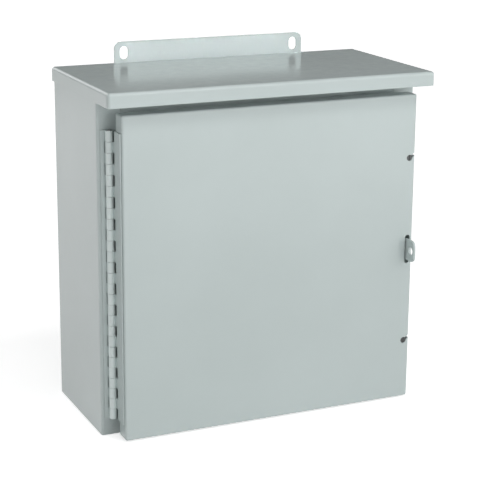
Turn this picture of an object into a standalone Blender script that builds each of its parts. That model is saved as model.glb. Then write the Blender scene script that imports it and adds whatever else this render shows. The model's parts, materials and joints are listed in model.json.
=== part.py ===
"""Rain-shielded wall cabinet for a small switchboard, built piece by piece.

Axes: +X to the right seen from the front, -Y towards the front, +Z up.
Origin: on the flat bottom, at the centre of the outer box in X and Y.
Depths called "ahead" are measured forwards from the body's front face.
"""

from math import asin, cos, pi, radians, sin

import bmesh
import bpy
from mathutils import Matrix, Vector

MM = 0.001

# Clearances and sheet metal
GAP = 0.3 * MM              # between pieces that touch
SHEET = 1.6 * MM            # 16 gauge steel
BEND = 3.0 * MM             # outer radius of a fold
BEND_STEPS = 3
CUT_OVER = 2.0 * MM         # how far a cutter reaches past the face it opens

# Body
BODY_WIDTH = 406.4 * MM
BODY_HEIGHT = 409.0 * MM
BODY_DEPTH = 157.0 * MM
WALL_HOLE_RADIUS = 4.0 * MM
WALL_HOLE_RISE = 27.0 * MM

# Raised collar around the front opening
COLLAR_INSET = 28.7 * MM    # from the body's sides
COLLAR_LOW = 15.5 * MM
COLLAR_HEAD = 36.5 * MM     # from the body's top
COLLAR_AHEAD = 22.0 * MM
COLLAR_LIP = 8.0 * MM

# Door pan
DOOR_LEFT_INSET = 17.7 * MM
DOOR_RIGHT_INSET = 14.7 * MM
DOOR_LOW = 2.5 * MM
DOOR_HEAD = 23.5 * MM
DOOR_BACK_AHEAD = 14.0 * MM
DOOR_FACE_AHEAD = 33.5 * MM
DOOR_BEND = 2.5 * MM

# Drip shield and the bracket behind it
SHIELD_AHEAD = 44.9 * MM
SHIELD_DROP = 17.0 * MM
BRACKET_SHEET = 2.0 * MM
BRACKET_WIDTH = 253.0 * MM
BRACKET_RISE = 25.7 * MM
BRACKET_FOOT = 20.0 * MM
BRACKET_CORNER = 8.5 * MM
CORNER_STEPS = 6
SLOT_INSET = 12.5 * MM      # from the bracket's ends
SLOT_WIDTH = 10.5 * MM
SLOT_LENGTH = 16.0 * MM
SLOT_RISE = 12.1 * MM

# Padlock staple and its slot in the door
STAPLE_AHEAD = 52.0 * MM
STAPLE_SHEET = 2.7 * MM
STAPLE_INSET = 8.4 * MM     # its left face, from the door's right edge
STAPLE_PLAY = 1.7 * MM      # left of the staple in the door's slot
STAPLE_SWING = 2.2 * MM     # right of it, for the door's arc
STAPLE_FOOT = 15.0 * MM
STAPLE_HEIGHT = 26.4 * MM
STAPLE_NOSE = 7.0 * MM
EYE_RADIUS = 4.8 * MM
EYE_EDGE = 8.0 * MM
HASP_PLAY = 4.8 * MM        # above and below the staple

# Continuous hinge
KNUCKLE_PITCH = 12.7 * MM
KNUCKLE_RADIUS = 4.5 * MM
KNUCKLE_BORE = 2.9 * MM
KNUCKLE_SIDES = 14
HINGE_MARGIN = 19.5 * MM    # from the door's lower and upper edges
LEAF_SHEET = 1.5 * MM
LEAF_NOTCH = 0.5 * MM       # clearance round the other leaf's knuckles
LEAF_EDGE = 0.3 * MM        # from the fold that a leaf ends at
PIN_RADIUS = 2.5 * MM
PIN_OVER = 0.8 * MM

# Quarter-turn latches
LATCH_INSET = 7.7 * MM      # from the door's right edge
LATCH_LOW_MARGIN = 74.0 * MM    # from the door's lower edge
LATCH_HIGH_MARGIN = 77.5 * MM   # from its upper edge
LATCH_HOLE = 3.8 * MM
LATCH_HEAD = 3.4 * MM
LATCH_SHOULDER = 5.0 * MM
LATCH_SHOULDER_DEPTH = 1.6 * MM
LATCH_SHANK = 2.8 * MM
LATCH_END_AHEAD = 8.5 * MM
LATCH_SUNK = 0.4 * MM       # head below the door face
KEYWAY_WIDTH = 3.6 * MM
KEYWAY_DEPTH = 7.0 * MM
KEYWAY_RISE = radians(30.0)
DRIVER_SLOT_WIDTH = 1.2 * MM
DRIVER_SLOT_DEPTH = 1.0 * MM
CAM_AHEAD = 13.0 * MM
CAM_SHEET = 2.5 * MM
CAM_HALF = 4.0 * MM
CAM_REACH = 20.0 * MM
CAM_PLAY = 1.5 * MM         # room round the cam in the collar's window
CLIP_RADIUS = 5.0 * MM
CLIP_SHEET = 1.5 * MM

# Mounting panel
PANEL_SIDE_CLEAR = 7.9 * MM     # to the collar's inner faces
PANEL_END_CLEAR = 11.9 * MM
PANEL_SHEET = 2.0 * MM
PANEL_HOLE_INSET = 13.0 * MM
PANEL_HOLE = 3.6 * MM
STUD_COLLAR = 6.0 * MM
STUD_STANDOFF = 12.0 * MM
STUD_RADIUS = 3.0 * MM
STUD_THREAD = 12.0 * MM
NUT_FLATS = 10.0 * MM
NUT_HEIGHT = 5.0 * MM
GROUND_INSET = 25.0 * MM    # from the panel's left and lower edges

# Rail and the devices on it
RAIL_RISE = 56.0 * MM       # above the panel's middle
RAIL_SPARE = 44.0 * MM      # rail left over at each end of the row
RAIL_HALF_LIP = 17.5 * MM
RAIL_HALF_BASE = 12.5 * MM
RAIL_DEPTH = 7.5 * MM
RAIL_SHEET = 1.0 * MM
RAIL_SCREW_INSET = 10.0 * MM
SCREW_HEAD = 4.2 * MM
SCREW_HEAD_HEIGHT = 2.6 * MM
SCREW_SHANK = 2.0 * MM
SCREW_HOLE = 2.5 * MM
SCREW_END = 4.0 * MM        # shank behind the panel's front face
MODULE = 18.0 * MM
MODULE_GAP = 0.5 * MM
BREAKER_COUNT = 5
MAIN_MODULES = 3
CASE_HALF_HEIGHT = 42.0 * MM
CASE_BACK = 4.0 * MM
CASE_SEAT = 8.0 * MM
CASE_SHOULDER = 50.0 * MM
CASE_NOSE = 67.0 * MM
CASE_NOSE_HALF = 22.5 * MM
CASE_SLOPE = 3.0 * MM
SEAT_PLAY = 0.5 * MM
TOGGLE_PIVOT = 57.5 * MM
TOGGLE_RADIUS = 8.0 * MM
TOGGLE_POCKET = 8.6 * MM
TOGGLE_REACH = 20.0 * MM
TOGGLE_HALF_THICK = 1.7 * MM
TOGGLE_OFF = radians(-30.0)
TOGGLE_SIDES = 16
BREAKER_TOGGLE_WIDTH = 6.4 * MM
MAIN_TOGGLE_WIDTH = 40.0 * MM
POCKET_SIDE_GAP = 0.4 * MM
STOP_WIDTH = 9.0 * MM
STOP_HALF_HEIGHT = 24.0 * MM
STOP_DEPTH = 30.0 * MM

# Terminal bars
BAR_HALF_LENGTH = 70.0 * MM
BAR_SIZE = 9.0 * MM
BAR_HOLES = 9
BAR_HOLE_PITCH = 12.0 * MM
BAR_HOLE_RADIUS = 2.3 * MM
SUPPORT_WIDTH = 14.0 * MM
SUPPORT_HEIGHT = 12.0 * MM
SUPPORT_INSET = 10.0 * MM
BAR_ROWS = {"neutral": (-56.0 * MM, 24.0 * MM), "earth": (-106.0 * MM, 12.0 * MM)}

# Planes and axes worked out from the sizes above
BACK_Y = (BODY_DEPTH + STAPLE_AHEAD) / 2
FACE_Y = BACK_Y - BODY_DEPTH
HALF_WIDTH = BODY_WIDTH / 2
COLLAR_HALF = HALF_WIDTH - COLLAR_INSET
COLLAR_HIGH = BODY_HEIGHT - COLLAR_HEAD
DOOR_LEFT = -HALF_WIDTH + DOOR_LEFT_INSET
DOOR_RIGHT = HALF_WIDTH - DOOR_RIGHT_INSET
DOOR_HIGH = BODY_HEIGHT - DOOR_HEAD
DOOR_MIDDLE = (DOOR_LOW + DOOR_HIGH) / 2
SHIELD_HALF = HALF_WIDTH + GAP + SHEET
FOOT_Z = BODY_HEIGHT + GAP
SHIELD_Z = FOOT_Z + BRACKET_SHEET + GAP + SHEET
BRACKET_Z = SHIELD_Z + BRACKET_RISE
SLOT_X = BRACKET_WIDTH / 2 - SLOT_INSET
STAPLE_LEFT = DOOR_RIGHT - STAPLE_INSET
HASP_LEFT = STAPLE_LEFT - STAPLE_PLAY
HASP_WIDTH = STAPLE_PLAY + STAPLE_SHEET + STAPLE_SWING
HASP_LENGTH = STAPLE_HEIGHT + 2 * HASP_PLAY
LATCH_X = DOOR_RIGHT - LATCH_INSET
LATCH_HEIGHTS = {"upper": DOOR_HIGH - LATCH_HIGH_MARGIN, "lower": DOOR_LOW + LATCH_LOW_MARGIN}
HINGE_X = DOOR_LEFT - GAP - KNUCKLE_RADIUS
HINGE_AHEAD = GAP + KNUCKLE_RADIUS
HINGE_LOW = DOOR_LOW + HINGE_MARGIN
HINGE_PAIRS = int((DOOR_HIGH - HINGE_MARGIN - HINGE_LOW) / KNUCKLE_PITCH - 1) // 2
KNUCKLE_COUNT = 2 * HINGE_PAIRS + 1     # the body's leaf has both end knuckles
HINGE_HIGH = HINGE_LOW + KNUCKLE_COUNT * KNUCKLE_PITCH
BODY_LEAF_EDGE = -HALF_WIDTH + BEND + LEAF_EDGE
DOOR_LEAF_AHEAD = DOOR_FACE_AHEAD - DOOR_BEND - LEAF_EDGE
PANEL_Y = BACK_Y - SHEET - STUD_STANDOFF - 2 * GAP - PANEL_SHEET
CAP_INSET = SHEET + 2 * GAP
PANEL_HALF = COLLAR_HALF - SHEET - PANEL_SIDE_CLEAR
PANEL_LOW = COLLAR_LOW + SHEET + PANEL_END_CLEAR
PANEL_HIGH = COLLAR_HIGH - SHEET - PANEL_END_CLEAR
PANEL_MIDDLE = (PANEL_LOW + PANEL_HIGH) / 2
GROUND_X = -PANEL_HALF + GROUND_INSET
GROUND_Z = PANEL_LOW + GROUND_INSET
ROW_HALF = (MAIN_MODULES + BREAKER_COUNT) * MODULE / 2
RAIL_MIDDLE = PANEL_MIDDLE + RAIL_RISE
RAIL_HALF_LENGTH = ROW_HALF + STOP_WIDTH + RAIL_SPARE
RAIL_SCREW_X = RAIL_HALF_LENGTH - RAIL_SCREW_INSET

ROUND_SIDES = 20
SMALL_SIDES = 12
SMOOTH_ANGLE = radians(35.0)
TO_FRONT = Matrix.Rotation(pi / 2, 4, "X")      # turns +Z to -Y
TO_RIGHT = Matrix.Rotation(pi / 2, 4, "Y")      # turns +Z to +X

# Finishes: colour, roughness, metallic
PAINT = ((0.56, 0.60, 0.59), 0.35, 0.0)
ZINC = ((0.62, 0.63, 0.65), 0.35, 1.0)
STEEL = ((0.50, 0.51, 0.52), 0.30, 1.0)
BLACKENED = ((0.07, 0.075, 0.075), 0.40, 1.0)
WHITE_PAINT = ((0.80, 0.81, 0.80), 0.45, 0.0)
LIGHT_PLASTIC = ((0.72, 0.72, 0.70), 0.50, 0.0)
DARK_PLASTIC = ((0.03, 0.03, 0.035), 0.45, 0.0)
BLUE_PLASTIC = ((0.03, 0.12, 0.40), 0.50, 0.0)
BRASS = ((0.62, 0.47, 0.20), 0.35, 1.0)


def ahead(distance):
    """Y of a plane that lies this far in front of the body's front face."""
    return FACE_Y - distance


def off_panel(distance):
    """Y of a plane that lies this far in front of the mounting panel."""
    return PANEL_Y - distance


def finish_material(name, finish):
    colour, roughness, metallic = finish
    mat = bpy.data.materials.new(name)
    mat.use_nodes = True
    inputs = mat.node_tree.nodes["Principled BSDF"].inputs
    inputs["Base Color"].default_value = (*colour, 1.0)
    inputs["Roughness"].default_value = roughness
    inputs["Metallic"].default_value = metallic
    return mat


def link_mesh(name, bm):
    """Turn a bmesh into a linked object with no material."""
    mesh = bpy.data.meshes.new(name)
    bm.to_mesh(mesh)
    bm.free()
    obj = bpy.data.objects.new(name, mesh)
    bpy.context.scene.collection.objects.link(obj)
    return obj


def piece(name, bm, finish, round_sides=False):
    """Make a named piece; round pieces are shaded smooth."""
    obj = link_mesh(name, bm)
    if round_sides:
        obj.data.shade_smooth()
        obj.data.set_sharp_from_angle(angle=SMOOTH_ANGLE)
    obj.data.materials.append(finish_material(name + "_finish", finish))
    return obj


def pivot(name, location, parent=None):
    """An empty on a joint's axis."""
    empty = bpy.data.objects.new(name, None)
    empty.location = location
    bpy.context.scene.collection.objects.link(empty)
    if parent is not None:
        hang(empty, parent)
    return empty


def hang(obj, parent):
    """Parent an object to a pivot without moving it."""
    bpy.context.view_layer.update()
    obj.parent = parent
    obj.matrix_parent_inverse = parent.matrix_world.inverted()


def combine(obj, operand_bm, operation):
    """Boolean another closed shape with the object."""
    tool = link_mesh(obj.name + "_" + operation.lower(), operand_bm)
    tool.hide_render = True
    tool.display_type = "WIRE"
    modifier = obj.modifiers.new(operation.lower(), "BOOLEAN")
    modifier.operation = operation
    modifier.solver = "EXACT"
    modifier.object = tool
    return tool


def add_block(bm, low, high):
    """Add a closed box between two corners."""
    low = Vector(low)
    high = Vector(high)
    size = Matrix.Diagonal((*(high - low), 1.0))
    bmesh.ops.create_cube(bm, size=1.0, matrix=Matrix.Translation((low + high) / 2) @ size)


def add_cylinder(bm, centre, radius, length, turn=None, sides=SMALL_SIDES):
    """Add a closed cylinder along Z, or along the axis that turn gives."""
    matrix = Matrix.Translation(centre)
    if turn is not None:
        matrix = matrix @ turn
    bmesh.ops.create_cone(bm, cap_ends=True, segments=sides, radius1=radius, radius2=radius,
                          depth=length, matrix=matrix)


def along(axis, across, up, distance):
    """A point from two outline coordinates and a distance along X, Y or Z."""
    if axis == "X":
        return Vector((distance, across, up))
    if axis == "Y":
        return Vector((across, distance, up))
    return Vector((across, up, distance))


def add_prism(bm, outline, axis, low, high):
    """Add a closed prism: an outline in the other two axes, from low to high."""
    face = bm.faces.new([bm.verts.new(along(axis, a, b, low)) for a, b in outline])
    grown = bmesh.ops.extrude_face_region(bm, geom=[face])
    moved = [item for item in grown["geom"] if isinstance(item, bmesh.types.BMVert)]
    bmesh.ops.translate(bm, verts=moved, vec=along(axis, 0.0, 0.0, high - low))
    bmesh.ops.recalc_face_normals(bm, faces=bm.faces)


def add_turned(bm, profile, sides=ROUND_SIDES, closed=False):
    """Spin a profile of (radius, height) points round Z."""
    verts = [bm.verts.new((radius, 0.0, height)) for radius, height in profile]
    pairs = list(zip(verts, verts[1:]))
    if closed:
        pairs.append((verts[-1], verts[0]))
    edges = [bm.edges.new(pair) for pair in pairs]
    bmesh.ops.spin(bm, geom=verts + edges, cent=(0, 0, 0), axis=(0, 0, 1), angle=2 * pi,
                   steps=sides, use_duplicate=False)
    bmesh.ops.remove_doubles(bm, verts=bm.verts, dist=0.01 * MM)
    bmesh.ops.recalc_face_normals(bm, faces=bm.faces)


def block(name, low, high, finish):
    bm = bmesh.new()
    add_block(bm, low, high)
    return piece(name, bm, finish)


def slot_outline(centre, width, length):
    """An upright slot with round ends, as outline points."""
    radius = width / 2
    reach = length / 2 - radius
    points = []
    for end, start in ((1, 0.0), (-1, pi)):
        for step in range(CORNER_STEPS + 1):
            angle = start + pi * step / CORNER_STEPS
            points.append((centre[0] + radius * cos(angle),
                           centre[1] + end * reach + radius * sin(angle)))
    return points


def round_folds(bm, radius):
    """Round every fold of an open sheet."""
    folds = [edge for edge in bm.edges if len(edge.link_faces) == 2]
    bmesh.ops.bevel(bm, geom=folds, offset=radius, segments=BEND_STEPS, profile=0.5,
                    affect="EDGES")


def thicken(obj, thickness):
    """Give an open sheet its thickness on the inner side."""
    modifier = obj.modifiers.new("thickness", "SOLIDIFY")
    modifier.thickness = thickness
    modifier.offset = -1.0
    modifier.use_even_offset = True
    modifier.use_quality_normals = True


def folded_strip(outline, axis, low, high):
    """An open sheet drawn out along X or Z; its outer side is right of the outline's way."""
    bm = bmesh.new()
    near = [bm.verts.new(along(axis, a, b, low)) for a, b in outline]
    far = [bm.verts.new(along(axis, a, b, high)) for a, b in outline]
    for k in range(len(outline) - 1):
        bm.faces.new((near[k], near[k + 1], far[k + 1], far[k]))
    return bm


def folded_pan(corners, fold, flanges):
    """An open sheet: a flat face with this many of its edges folded back."""
    bm = bmesh.new()
    rim = [bm.verts.new(corner) for corner in corners]
    hem = [bm.verts.new(Vector(corner) + Vector(fold)) for corner in corners]
    bm.faces.new(rim)
    for k in range(flanges):
        n = (k + 1) % len(corners)
        bm.faces.new((rim[n], rim[k], hem[k], hem[n]))
    for vert in [vert for vert in hem if not vert.link_faces]:
        bm.verts.remove(vert)
    return bm


def round_corners(bm, picks, radius, steps):
    """Round the free corners of an open sheet that picks selects."""
    corners = [vert for vert in bm.verts if picks(vert.co)]
    bmesh.ops.bevel(bm, geom=corners, offset=radius, segments=steps, profile=0.5,
                    affect="VERTICES")


def mitred_frame(name, section, half_x, low_z, high_z, finish):
    """A frame of (outward offset, Y) section points round a rectangle."""
    bm = bmesh.new()
    rings = []
    for side_x, side_z in ((-1, -1), (1, -1), (1, 1), (-1, 1)):
        z = low_z if side_z < 0 else high_z
        rings.append([bm.verts.new((side_x * (half_x + out), y, z + side_z * out))
                      for out, y in section])
    count = len(section)
    for here, after in zip(rings, rings[1:] + rings[:1]):
        for k in range(count):
            n = (k + 1) % count
            bm.faces.new((here[k], here[n], after[n], after[k]))
    bmesh.ops.recalc_face_normals(bm, faces=bm.faces)
    return piece(name, bm, finish)


# --- Body -----------------------------------------------------------------

def make_body_wrap():
    """Back and both sides in one bent sheet, with returns at the front."""
    edge = COLLAR_HALF + GAP
    outline = ((edge, FACE_Y), (HALF_WIDTH, FACE_Y), (HALF_WIDTH, BACK_Y),
               (-HALF_WIDTH, BACK_Y), (-HALF_WIDTH, FACE_Y), (-edge, FACE_Y))
    bm = folded_strip(outline, "Z", 0.0, BODY_HEIGHT)
    round_folds(bm, BEND)
    wrap = piece("body_wrap", bm, PAINT)
    thicken(wrap, SHEET)
    holes = bmesh.new()
    for side in (-1, 1):
        centre = (side * SLOT_X, BACK_Y - SHEET / 2, WALL_HOLE_RISE)
        add_cylinder(holes, centre, WALL_HOLE_RADIUS, SHEET + 2 * CUT_OVER, TO_FRONT, ROUND_SIDES)
    combine(wrap, holes, "DIFFERENCE")


def make_end_cap(name, outer_z, flange_z):
    """Floor or roof plate with a front flange that closes the face."""
    up = 1 if flange_z > outer_z else -1
    outline = [(BACK_Y - CAP_INSET, outer_z), (FACE_Y, outer_z), (FACE_Y, flange_z - up * GAP)]
    if up > 0:
        outline.reverse()
    half = HALF_WIDTH - CAP_INSET
    bm = folded_strip(outline, "X", -half, half)
    round_folds(bm, BEND)
    cap = piece(name, bm, PAINT)
    thicken(cap, SHEET)
    corners = bmesh.new()
    low_z = min(outer_z, flange_z) - CUT_OVER
    high_z = max(outer_z, flange_z) + CUT_OVER
    for side in (-1, 1):
        near, far = sorted((side * COLLAR_HALF, side * HALF_WIDTH))
        add_block(corners, (near, FACE_Y - CUT_OVER, low_z), (far, FACE_Y + CAP_INSET, high_z))
    combine(cap, corners, "DIFFERENCE")


def make_collar():
    """Frame welded behind the face, standing forward inside the door pan."""
    behind = FACE_Y + SHEET + GAP
    front = ahead(COLLAR_AHEAD)
    section = ((-SHEET, behind + SHEET), (COLLAR_LIP, behind + SHEET), (COLLAR_LIP, behind),
               (0.0, behind), (0.0, front), (-SHEET, front))
    collar = mitred_frame("opening_collar", section, COLLAR_HALF, COLLAR_LOW, COLLAR_HIGH, PAINT)
    windows = bmesh.new()
    for height in LATCH_HEIGHTS.values():
        low = (COLLAR_HALF - SHEET - CUT_OVER, ahead(CAM_AHEAD + CAM_SHEET + CAM_PLAY),
               height - CAM_REACH - CAM_PLAY)
        high = (COLLAR_HALF + CUT_OVER, ahead(CAM_AHEAD - CAM_PLAY), height + CAM_HALF + CAM_PLAY)
        add_block(windows, low, high)
    combine(collar, windows, "DIFFERENCE")


def make_drip_shield():
    """Roof sheet folded down at the sides and along the front."""
    front = ahead(SHIELD_AHEAD)
    corners = ((-SHIELD_HALF, BACK_Y, SHIELD_Z), (-SHIELD_HALF, front, SHIELD_Z),
               (SHIELD_HALF, front, SHIELD_Z), (SHIELD_HALF, BACK_Y, SHIELD_Z))
    bm = folded_pan(corners, (0.0, 0.0, -SHIELD_DROP), 3)
    round_folds(bm, BEND)
    shield = piece("drip_shield", bm, PAINT)
    thicken(shield, SHEET)
    notch = bmesh.new()
    half = BRACKET_WIDTH / 2 + GAP
    add_block(notch, (-half, BACK_Y - BEND - GAP, SHIELD_Z - SHIELD_DROP),
              (half, BACK_Y + CUT_OVER, SHIELD_Z + CUT_OVER))
    combine(shield, notch, "DIFFERENCE")


def make_mounting_bracket():
    """Angle under the shield's rear edge, with two upright slots."""
    half = BRACKET_WIDTH / 2
    outline = ((BACK_Y - BRACKET_FOOT, FOOT_Z), (BACK_Y, FOOT_Z), (BACK_Y, BRACKET_Z))
    bm = folded_strip(outline, "X", -half, half)
    round_folds(bm, BEND)
    round_corners(bm, lambda co: co.z > BRACKET_Z - GAP, BRACKET_CORNER, CORNER_STEPS)
    bracket = piece("upper_mounting_bracket", bm, PAINT)
    thicken(bracket, BRACKET_SHEET)
    slots = bmesh.new()
    for side in (-1, 1):
        outline = slot_outline((side * SLOT_X, SHIELD_Z + SLOT_RISE), SLOT_WIDTH, SLOT_LENGTH)
        add_prism(slots, outline, "Y", BACK_Y - BRACKET_SHEET - CUT_OVER, BACK_Y + CUT_OVER)
    combine(bracket, slots, "DIFFERENCE")


def make_staple():
    """Angle welded to the face; its leg passes through the door's slot."""
    outline = ((STAPLE_LEFT + STAPLE_FOOT, ahead(GAP)), (STAPLE_LEFT, ahead(GAP)),
               (STAPLE_LEFT, ahead(STAPLE_AHEAD)))
    half = STAPLE_HEIGHT / 2
    bm = folded_strip(outline, "Z", DOOR_MIDDLE - half, DOOR_MIDDLE + half)
    round_folds(bm, BEND)
    round_corners(bm, lambda co: co.y < ahead(STAPLE_AHEAD - GAP), STAPLE_NOSE, 2)
    staple = piece("padlock_staple", bm, PAINT)
    thicken(staple, STAPLE_SHEET)
    eye = bmesh.new()
    centre = (STAPLE_LEFT + STAPLE_SHEET / 2, ahead(STAPLE_AHEAD - EYE_EDGE), DOOR_MIDDLE)
    add_cylinder(eye, centre, EYE_RADIUS, STAPLE_SHEET + 2 * CUT_OVER, TO_RIGHT, ROUND_SIDES)
    combine(staple, eye, "DIFFERENCE")


# --- Door and hinge -------------------------------------------------------

def keyway(bm, height):
    """Round seat for a latch, with a rising slot out to the door's edge."""
    front = ahead(DOOR_FACE_AHEAD + CUT_OVER)
    back = ahead(DOOR_FACE_AHEAD - KEYWAY_DEPTH)
    half = KEYWAY_WIDTH / 2
    length = (DOOR_RIGHT - LATCH_X + CUT_OVER) / cos(KEYWAY_RISE)
    mouth = asin(half / LATCH_HOLE)
    outline = []
    for step in range(ROUND_SIDES + 1):
        angle = KEYWAY_RISE + mouth + (2 * pi - 2 * mouth) * step / ROUND_SIDES
        outline.append((LATCH_X + LATCH_HOLE * cos(angle), height + LATCH_HOLE * sin(angle)))
    for side in (-1, 1):
        along_x = length * cos(KEYWAY_RISE) - side * half * sin(KEYWAY_RISE)
        along_z = length * sin(KEYWAY_RISE) + side * half * cos(KEYWAY_RISE)
        outline.append((LATCH_X + along_x, height + along_z))
    add_prism(bm, outline, "Y", front, back)


def make_door(door_axis):
    """Front sheet folded back on all four edges."""
    front = ahead(DOOR_FACE_AHEAD)
    corners = ((DOOR_LEFT, front, DOOR_LOW), (DOOR_RIGHT, front, DOOR_LOW),
               (DOOR_RIGHT, front, DOOR_HIGH), (DOOR_LEFT, front, DOOR_HIGH))
    bm = folded_pan(corners, (0.0, DOOR_FACE_AHEAD - DOOR_BACK_AHEAD, 0.0), 4)
    round_folds(bm, DOOR_BEND)
    door = piece("door_pan", bm, PAINT)
    thicken(door, SHEET)
    openings = bmesh.new()
    outline = slot_outline((HASP_LEFT + HASP_WIDTH / 2, DOOR_MIDDLE), HASP_WIDTH, HASP_LENGTH)
    inside = ahead(DOOR_FACE_AHEAD - SHEET - CUT_OVER)
    add_prism(openings, outline, "Y", ahead(DOOR_FACE_AHEAD + CUT_OVER), inside)
    for height in LATCH_HEIGHTS.values():
        keyway(openings, height)
    combine(door, openings, "DIFFERENCE")
    hang(door, door_axis)


def comb_outline(outer, notched, inner, parity):
    """A leaf's outline: straight outer edge, tabs at its own knuckles."""
    points = [(outer, HINGE_LOW), (outer, HINGE_HIGH)]
    for index in reversed(range(parity, KNUCKLE_COUNT, 2)):
        high = HINGE_LOW + (index + 1) * KNUCKLE_PITCH - GAP / 2
        low = HINGE_LOW + index * KNUCKLE_PITCH + GAP / 2
        points += [(notched, high), (inner, high), (inner, low), (notched, low)]
    if parity:
        points.insert(2, (notched, HINGE_HIGH))
        points.append((notched, HINGE_LOW))
    else:
        points[0] = (outer, HINGE_LOW + GAP / 2)
        points[1] = (outer, HINGE_HIGH - GAP / 2)
        del points[2]
        points.pop()
    return points


def knuckles(parity):
    """Rolled knuckles of one leaf, as separate rings round the hinge axis."""
    bm = bmesh.new()
    half = (KNUCKLE_PITCH - GAP) / 2
    section = ((KNUCKLE_BORE, -half), (KNUCKLE_RADIUS, -half), (KNUCKLE_RADIUS, half),
               (KNUCKLE_BORE, half))
    for index in range(parity, KNUCKLE_COUNT, 2):
        ring = bmesh.new()
        add_turned(ring, section, KNUCKLE_SIDES, closed=True)
        middle = HINGE_LOW + (index + 0.5) * KNUCKLE_PITCH
        ring.transform(Matrix.Translation((HINGE_X, ahead(HINGE_AHEAD), middle)))
        mesh = bpy.data.meshes.new("knuckle")
        ring.to_mesh(mesh)
        ring.free()
        bm.from_mesh(mesh)
        bpy.data.meshes.remove(mesh)
    return bm


def make_body_leaf():
    """Leaf flat on the body's front return, left of the knuckles."""
    notched = HINGE_X - KNUCKLE_RADIUS - LEAF_NOTCH
    bm = bmesh.new()
    outline = comb_outline(BODY_LEAF_EDGE, notched, HINGE_X, 0)
    add_prism(bm, outline, "Y", ahead(GAP), ahead(GAP + LEAF_SHEET))
    leaf = piece("hinge_body_leaf", bm, PAINT)
    combine(leaf, knuckles(0), "UNION")


def make_door_leaf(door_axis):
    """Leaf flat on the outside of the door pan's left return."""
    notched = ahead(HINGE_AHEAD + KNUCKLE_RADIUS + LEAF_NOTCH)
    right = HINGE_X + KNUCKLE_RADIUS
    bm = bmesh.new()
    outline = comb_outline(ahead(DOOR_LEAF_AHEAD), notched, ahead(HINGE_AHEAD), 1)
    add_prism(bm, outline, "X", right - LEAF_SHEET, right)
    leaf = piece("hinge_door_leaf", bm, PAINT)
    combine(leaf, knuckles(1), "UNION")
    hang(leaf, door_axis)


def make_hinge_pin():
    bm = bmesh.new()
    middle = (HINGE_LOW + HINGE_HIGH) / 2
    length = HINGE_HIGH - HINGE_LOW + 2 * PIN_OVER
    add_cylinder(bm, (HINGE_X, ahead(HINGE_AHEAD), middle), PIN_RADIUS, length)
    piece("hinge_pin", bm, STEEL, round_sides=True)


# --- Latches --------------------------------------------------------------

def make_latch(label, height, door_axis):
    """Slotted stem through the door, with its cam and retaining clip."""
    axis = pivot(label + "_latch_axis", (LATCH_X, FACE_Y, height), door_axis)
    head_front = DOOR_FACE_AHEAD - LATCH_SUNK
    shoulder_front = DOOR_FACE_AHEAD - SHEET - GAP
    shoulder_back = shoulder_front - LATCH_SHOULDER_DEPTH
    profile = ((0.0, head_front), (LATCH_HEAD, head_front), (LATCH_HEAD, shoulder_front),
               (LATCH_SHOULDER, shoulder_front), (LATCH_SHOULDER, shoulder_back),
               (LATCH_SHANK, shoulder_back), (LATCH_SHANK, LATCH_END_AHEAD),
               (0.0, LATCH_END_AHEAD))
    bm = bmesh.new()
    add_turned(bm, profile)
    bm.transform(Matrix.Translation((LATCH_X, FACE_Y, height)) @ TO_FRONT)
    stem = piece(label + "_latch_stem", bm, BLACKENED, round_sides=True)
    slot = bmesh.new()
    half = DRIVER_SLOT_WIDTH / 2
    reach = LATCH_HEAD + CUT_OVER
    add_block(slot, (LATCH_X - half, ahead(head_front + CUT_OVER), height - reach),
              (LATCH_X + half, ahead(head_front - DRIVER_SLOT_DEPTH), height + reach))
    combine(stem, slot, "DIFFERENCE")
    hang(stem, axis)

    outline = slot_outline((LATCH_X, height - CAM_REACH / 2 + CAM_HALF / 2), 2 * CAM_HALF,
                           CAM_REACH + CAM_HALF)
    bm = bmesh.new()
    add_prism(bm, outline, "Y", ahead(CAM_AHEAD), ahead(CAM_AHEAD + CAM_SHEET))
    cam = piece(label + "_latch_cam", bm, ZINC)
    hole = bmesh.new()
    add_cylinder(hole, (LATCH_X, ahead(CAM_AHEAD + CAM_SHEET / 2), height), LATCH_SHANK + GAP,
                 CAM_SHEET + 2 * CUT_OVER, TO_FRONT, ROUND_SIDES)
    combine(cam, hole, "DIFFERENCE")
    hang(cam, axis)

    clip_front = CAM_AHEAD - GAP
    section = ((LATCH_SHANK + GAP, clip_front - CLIP_SHEET), (CLIP_RADIUS, clip_front - CLIP_SHEET),
               (CLIP_RADIUS, clip_front), (LATCH_SHANK + GAP, clip_front))
    bm = bmesh.new()
    add_turned(bm, section, closed=True)
    bm.transform(Matrix.Translation((LATCH_X, FACE_Y, height)) @ TO_FRONT)
    clip = piece(label + "_latch_clip", bm, STEEL, round_sides=True)
    hang(clip, axis)


# --- Mounting panel -------------------------------------------------------

def panel_corners():
    """Names and positions of the panel's four fixing points."""
    for tier, up in (("lower", -1), ("upper", 1)):
        for side, right in (("left", -1), ("right", 1)):
            yield (tier + "_" + side, right * (PANEL_HALF - PANEL_HOLE_INSET),
                   PANEL_MIDDLE + up * (PANEL_HIGH - PANEL_MIDDLE - PANEL_HOLE_INSET))


def make_panel():
    panel = block("mounting_panel", (-PANEL_HALF, PANEL_Y, PANEL_LOW),
                  (PANEL_HALF, PANEL_Y + PANEL_SHEET, PANEL_HIGH), WHITE_PAINT)
    holes = bmesh.new()
    centres = [(x, z, PANEL_HOLE) for _, x, z in panel_corners()]
    centres += [(side * RAIL_SCREW_X, RAIL_MIDDLE, SCREW_HOLE) for side in (-1, 1)]
    centres.append((GROUND_X, GROUND_Z, STUD_RADIUS + GAP))
    for x, z, radius in centres:
        add_cylinder(holes, (x, PANEL_Y + PANEL_SHEET / 2, z), radius,
                     PANEL_SHEET + 2 * CUT_OVER, TO_FRONT)
    combine(panel, holes, "DIFFERENCE")


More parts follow.
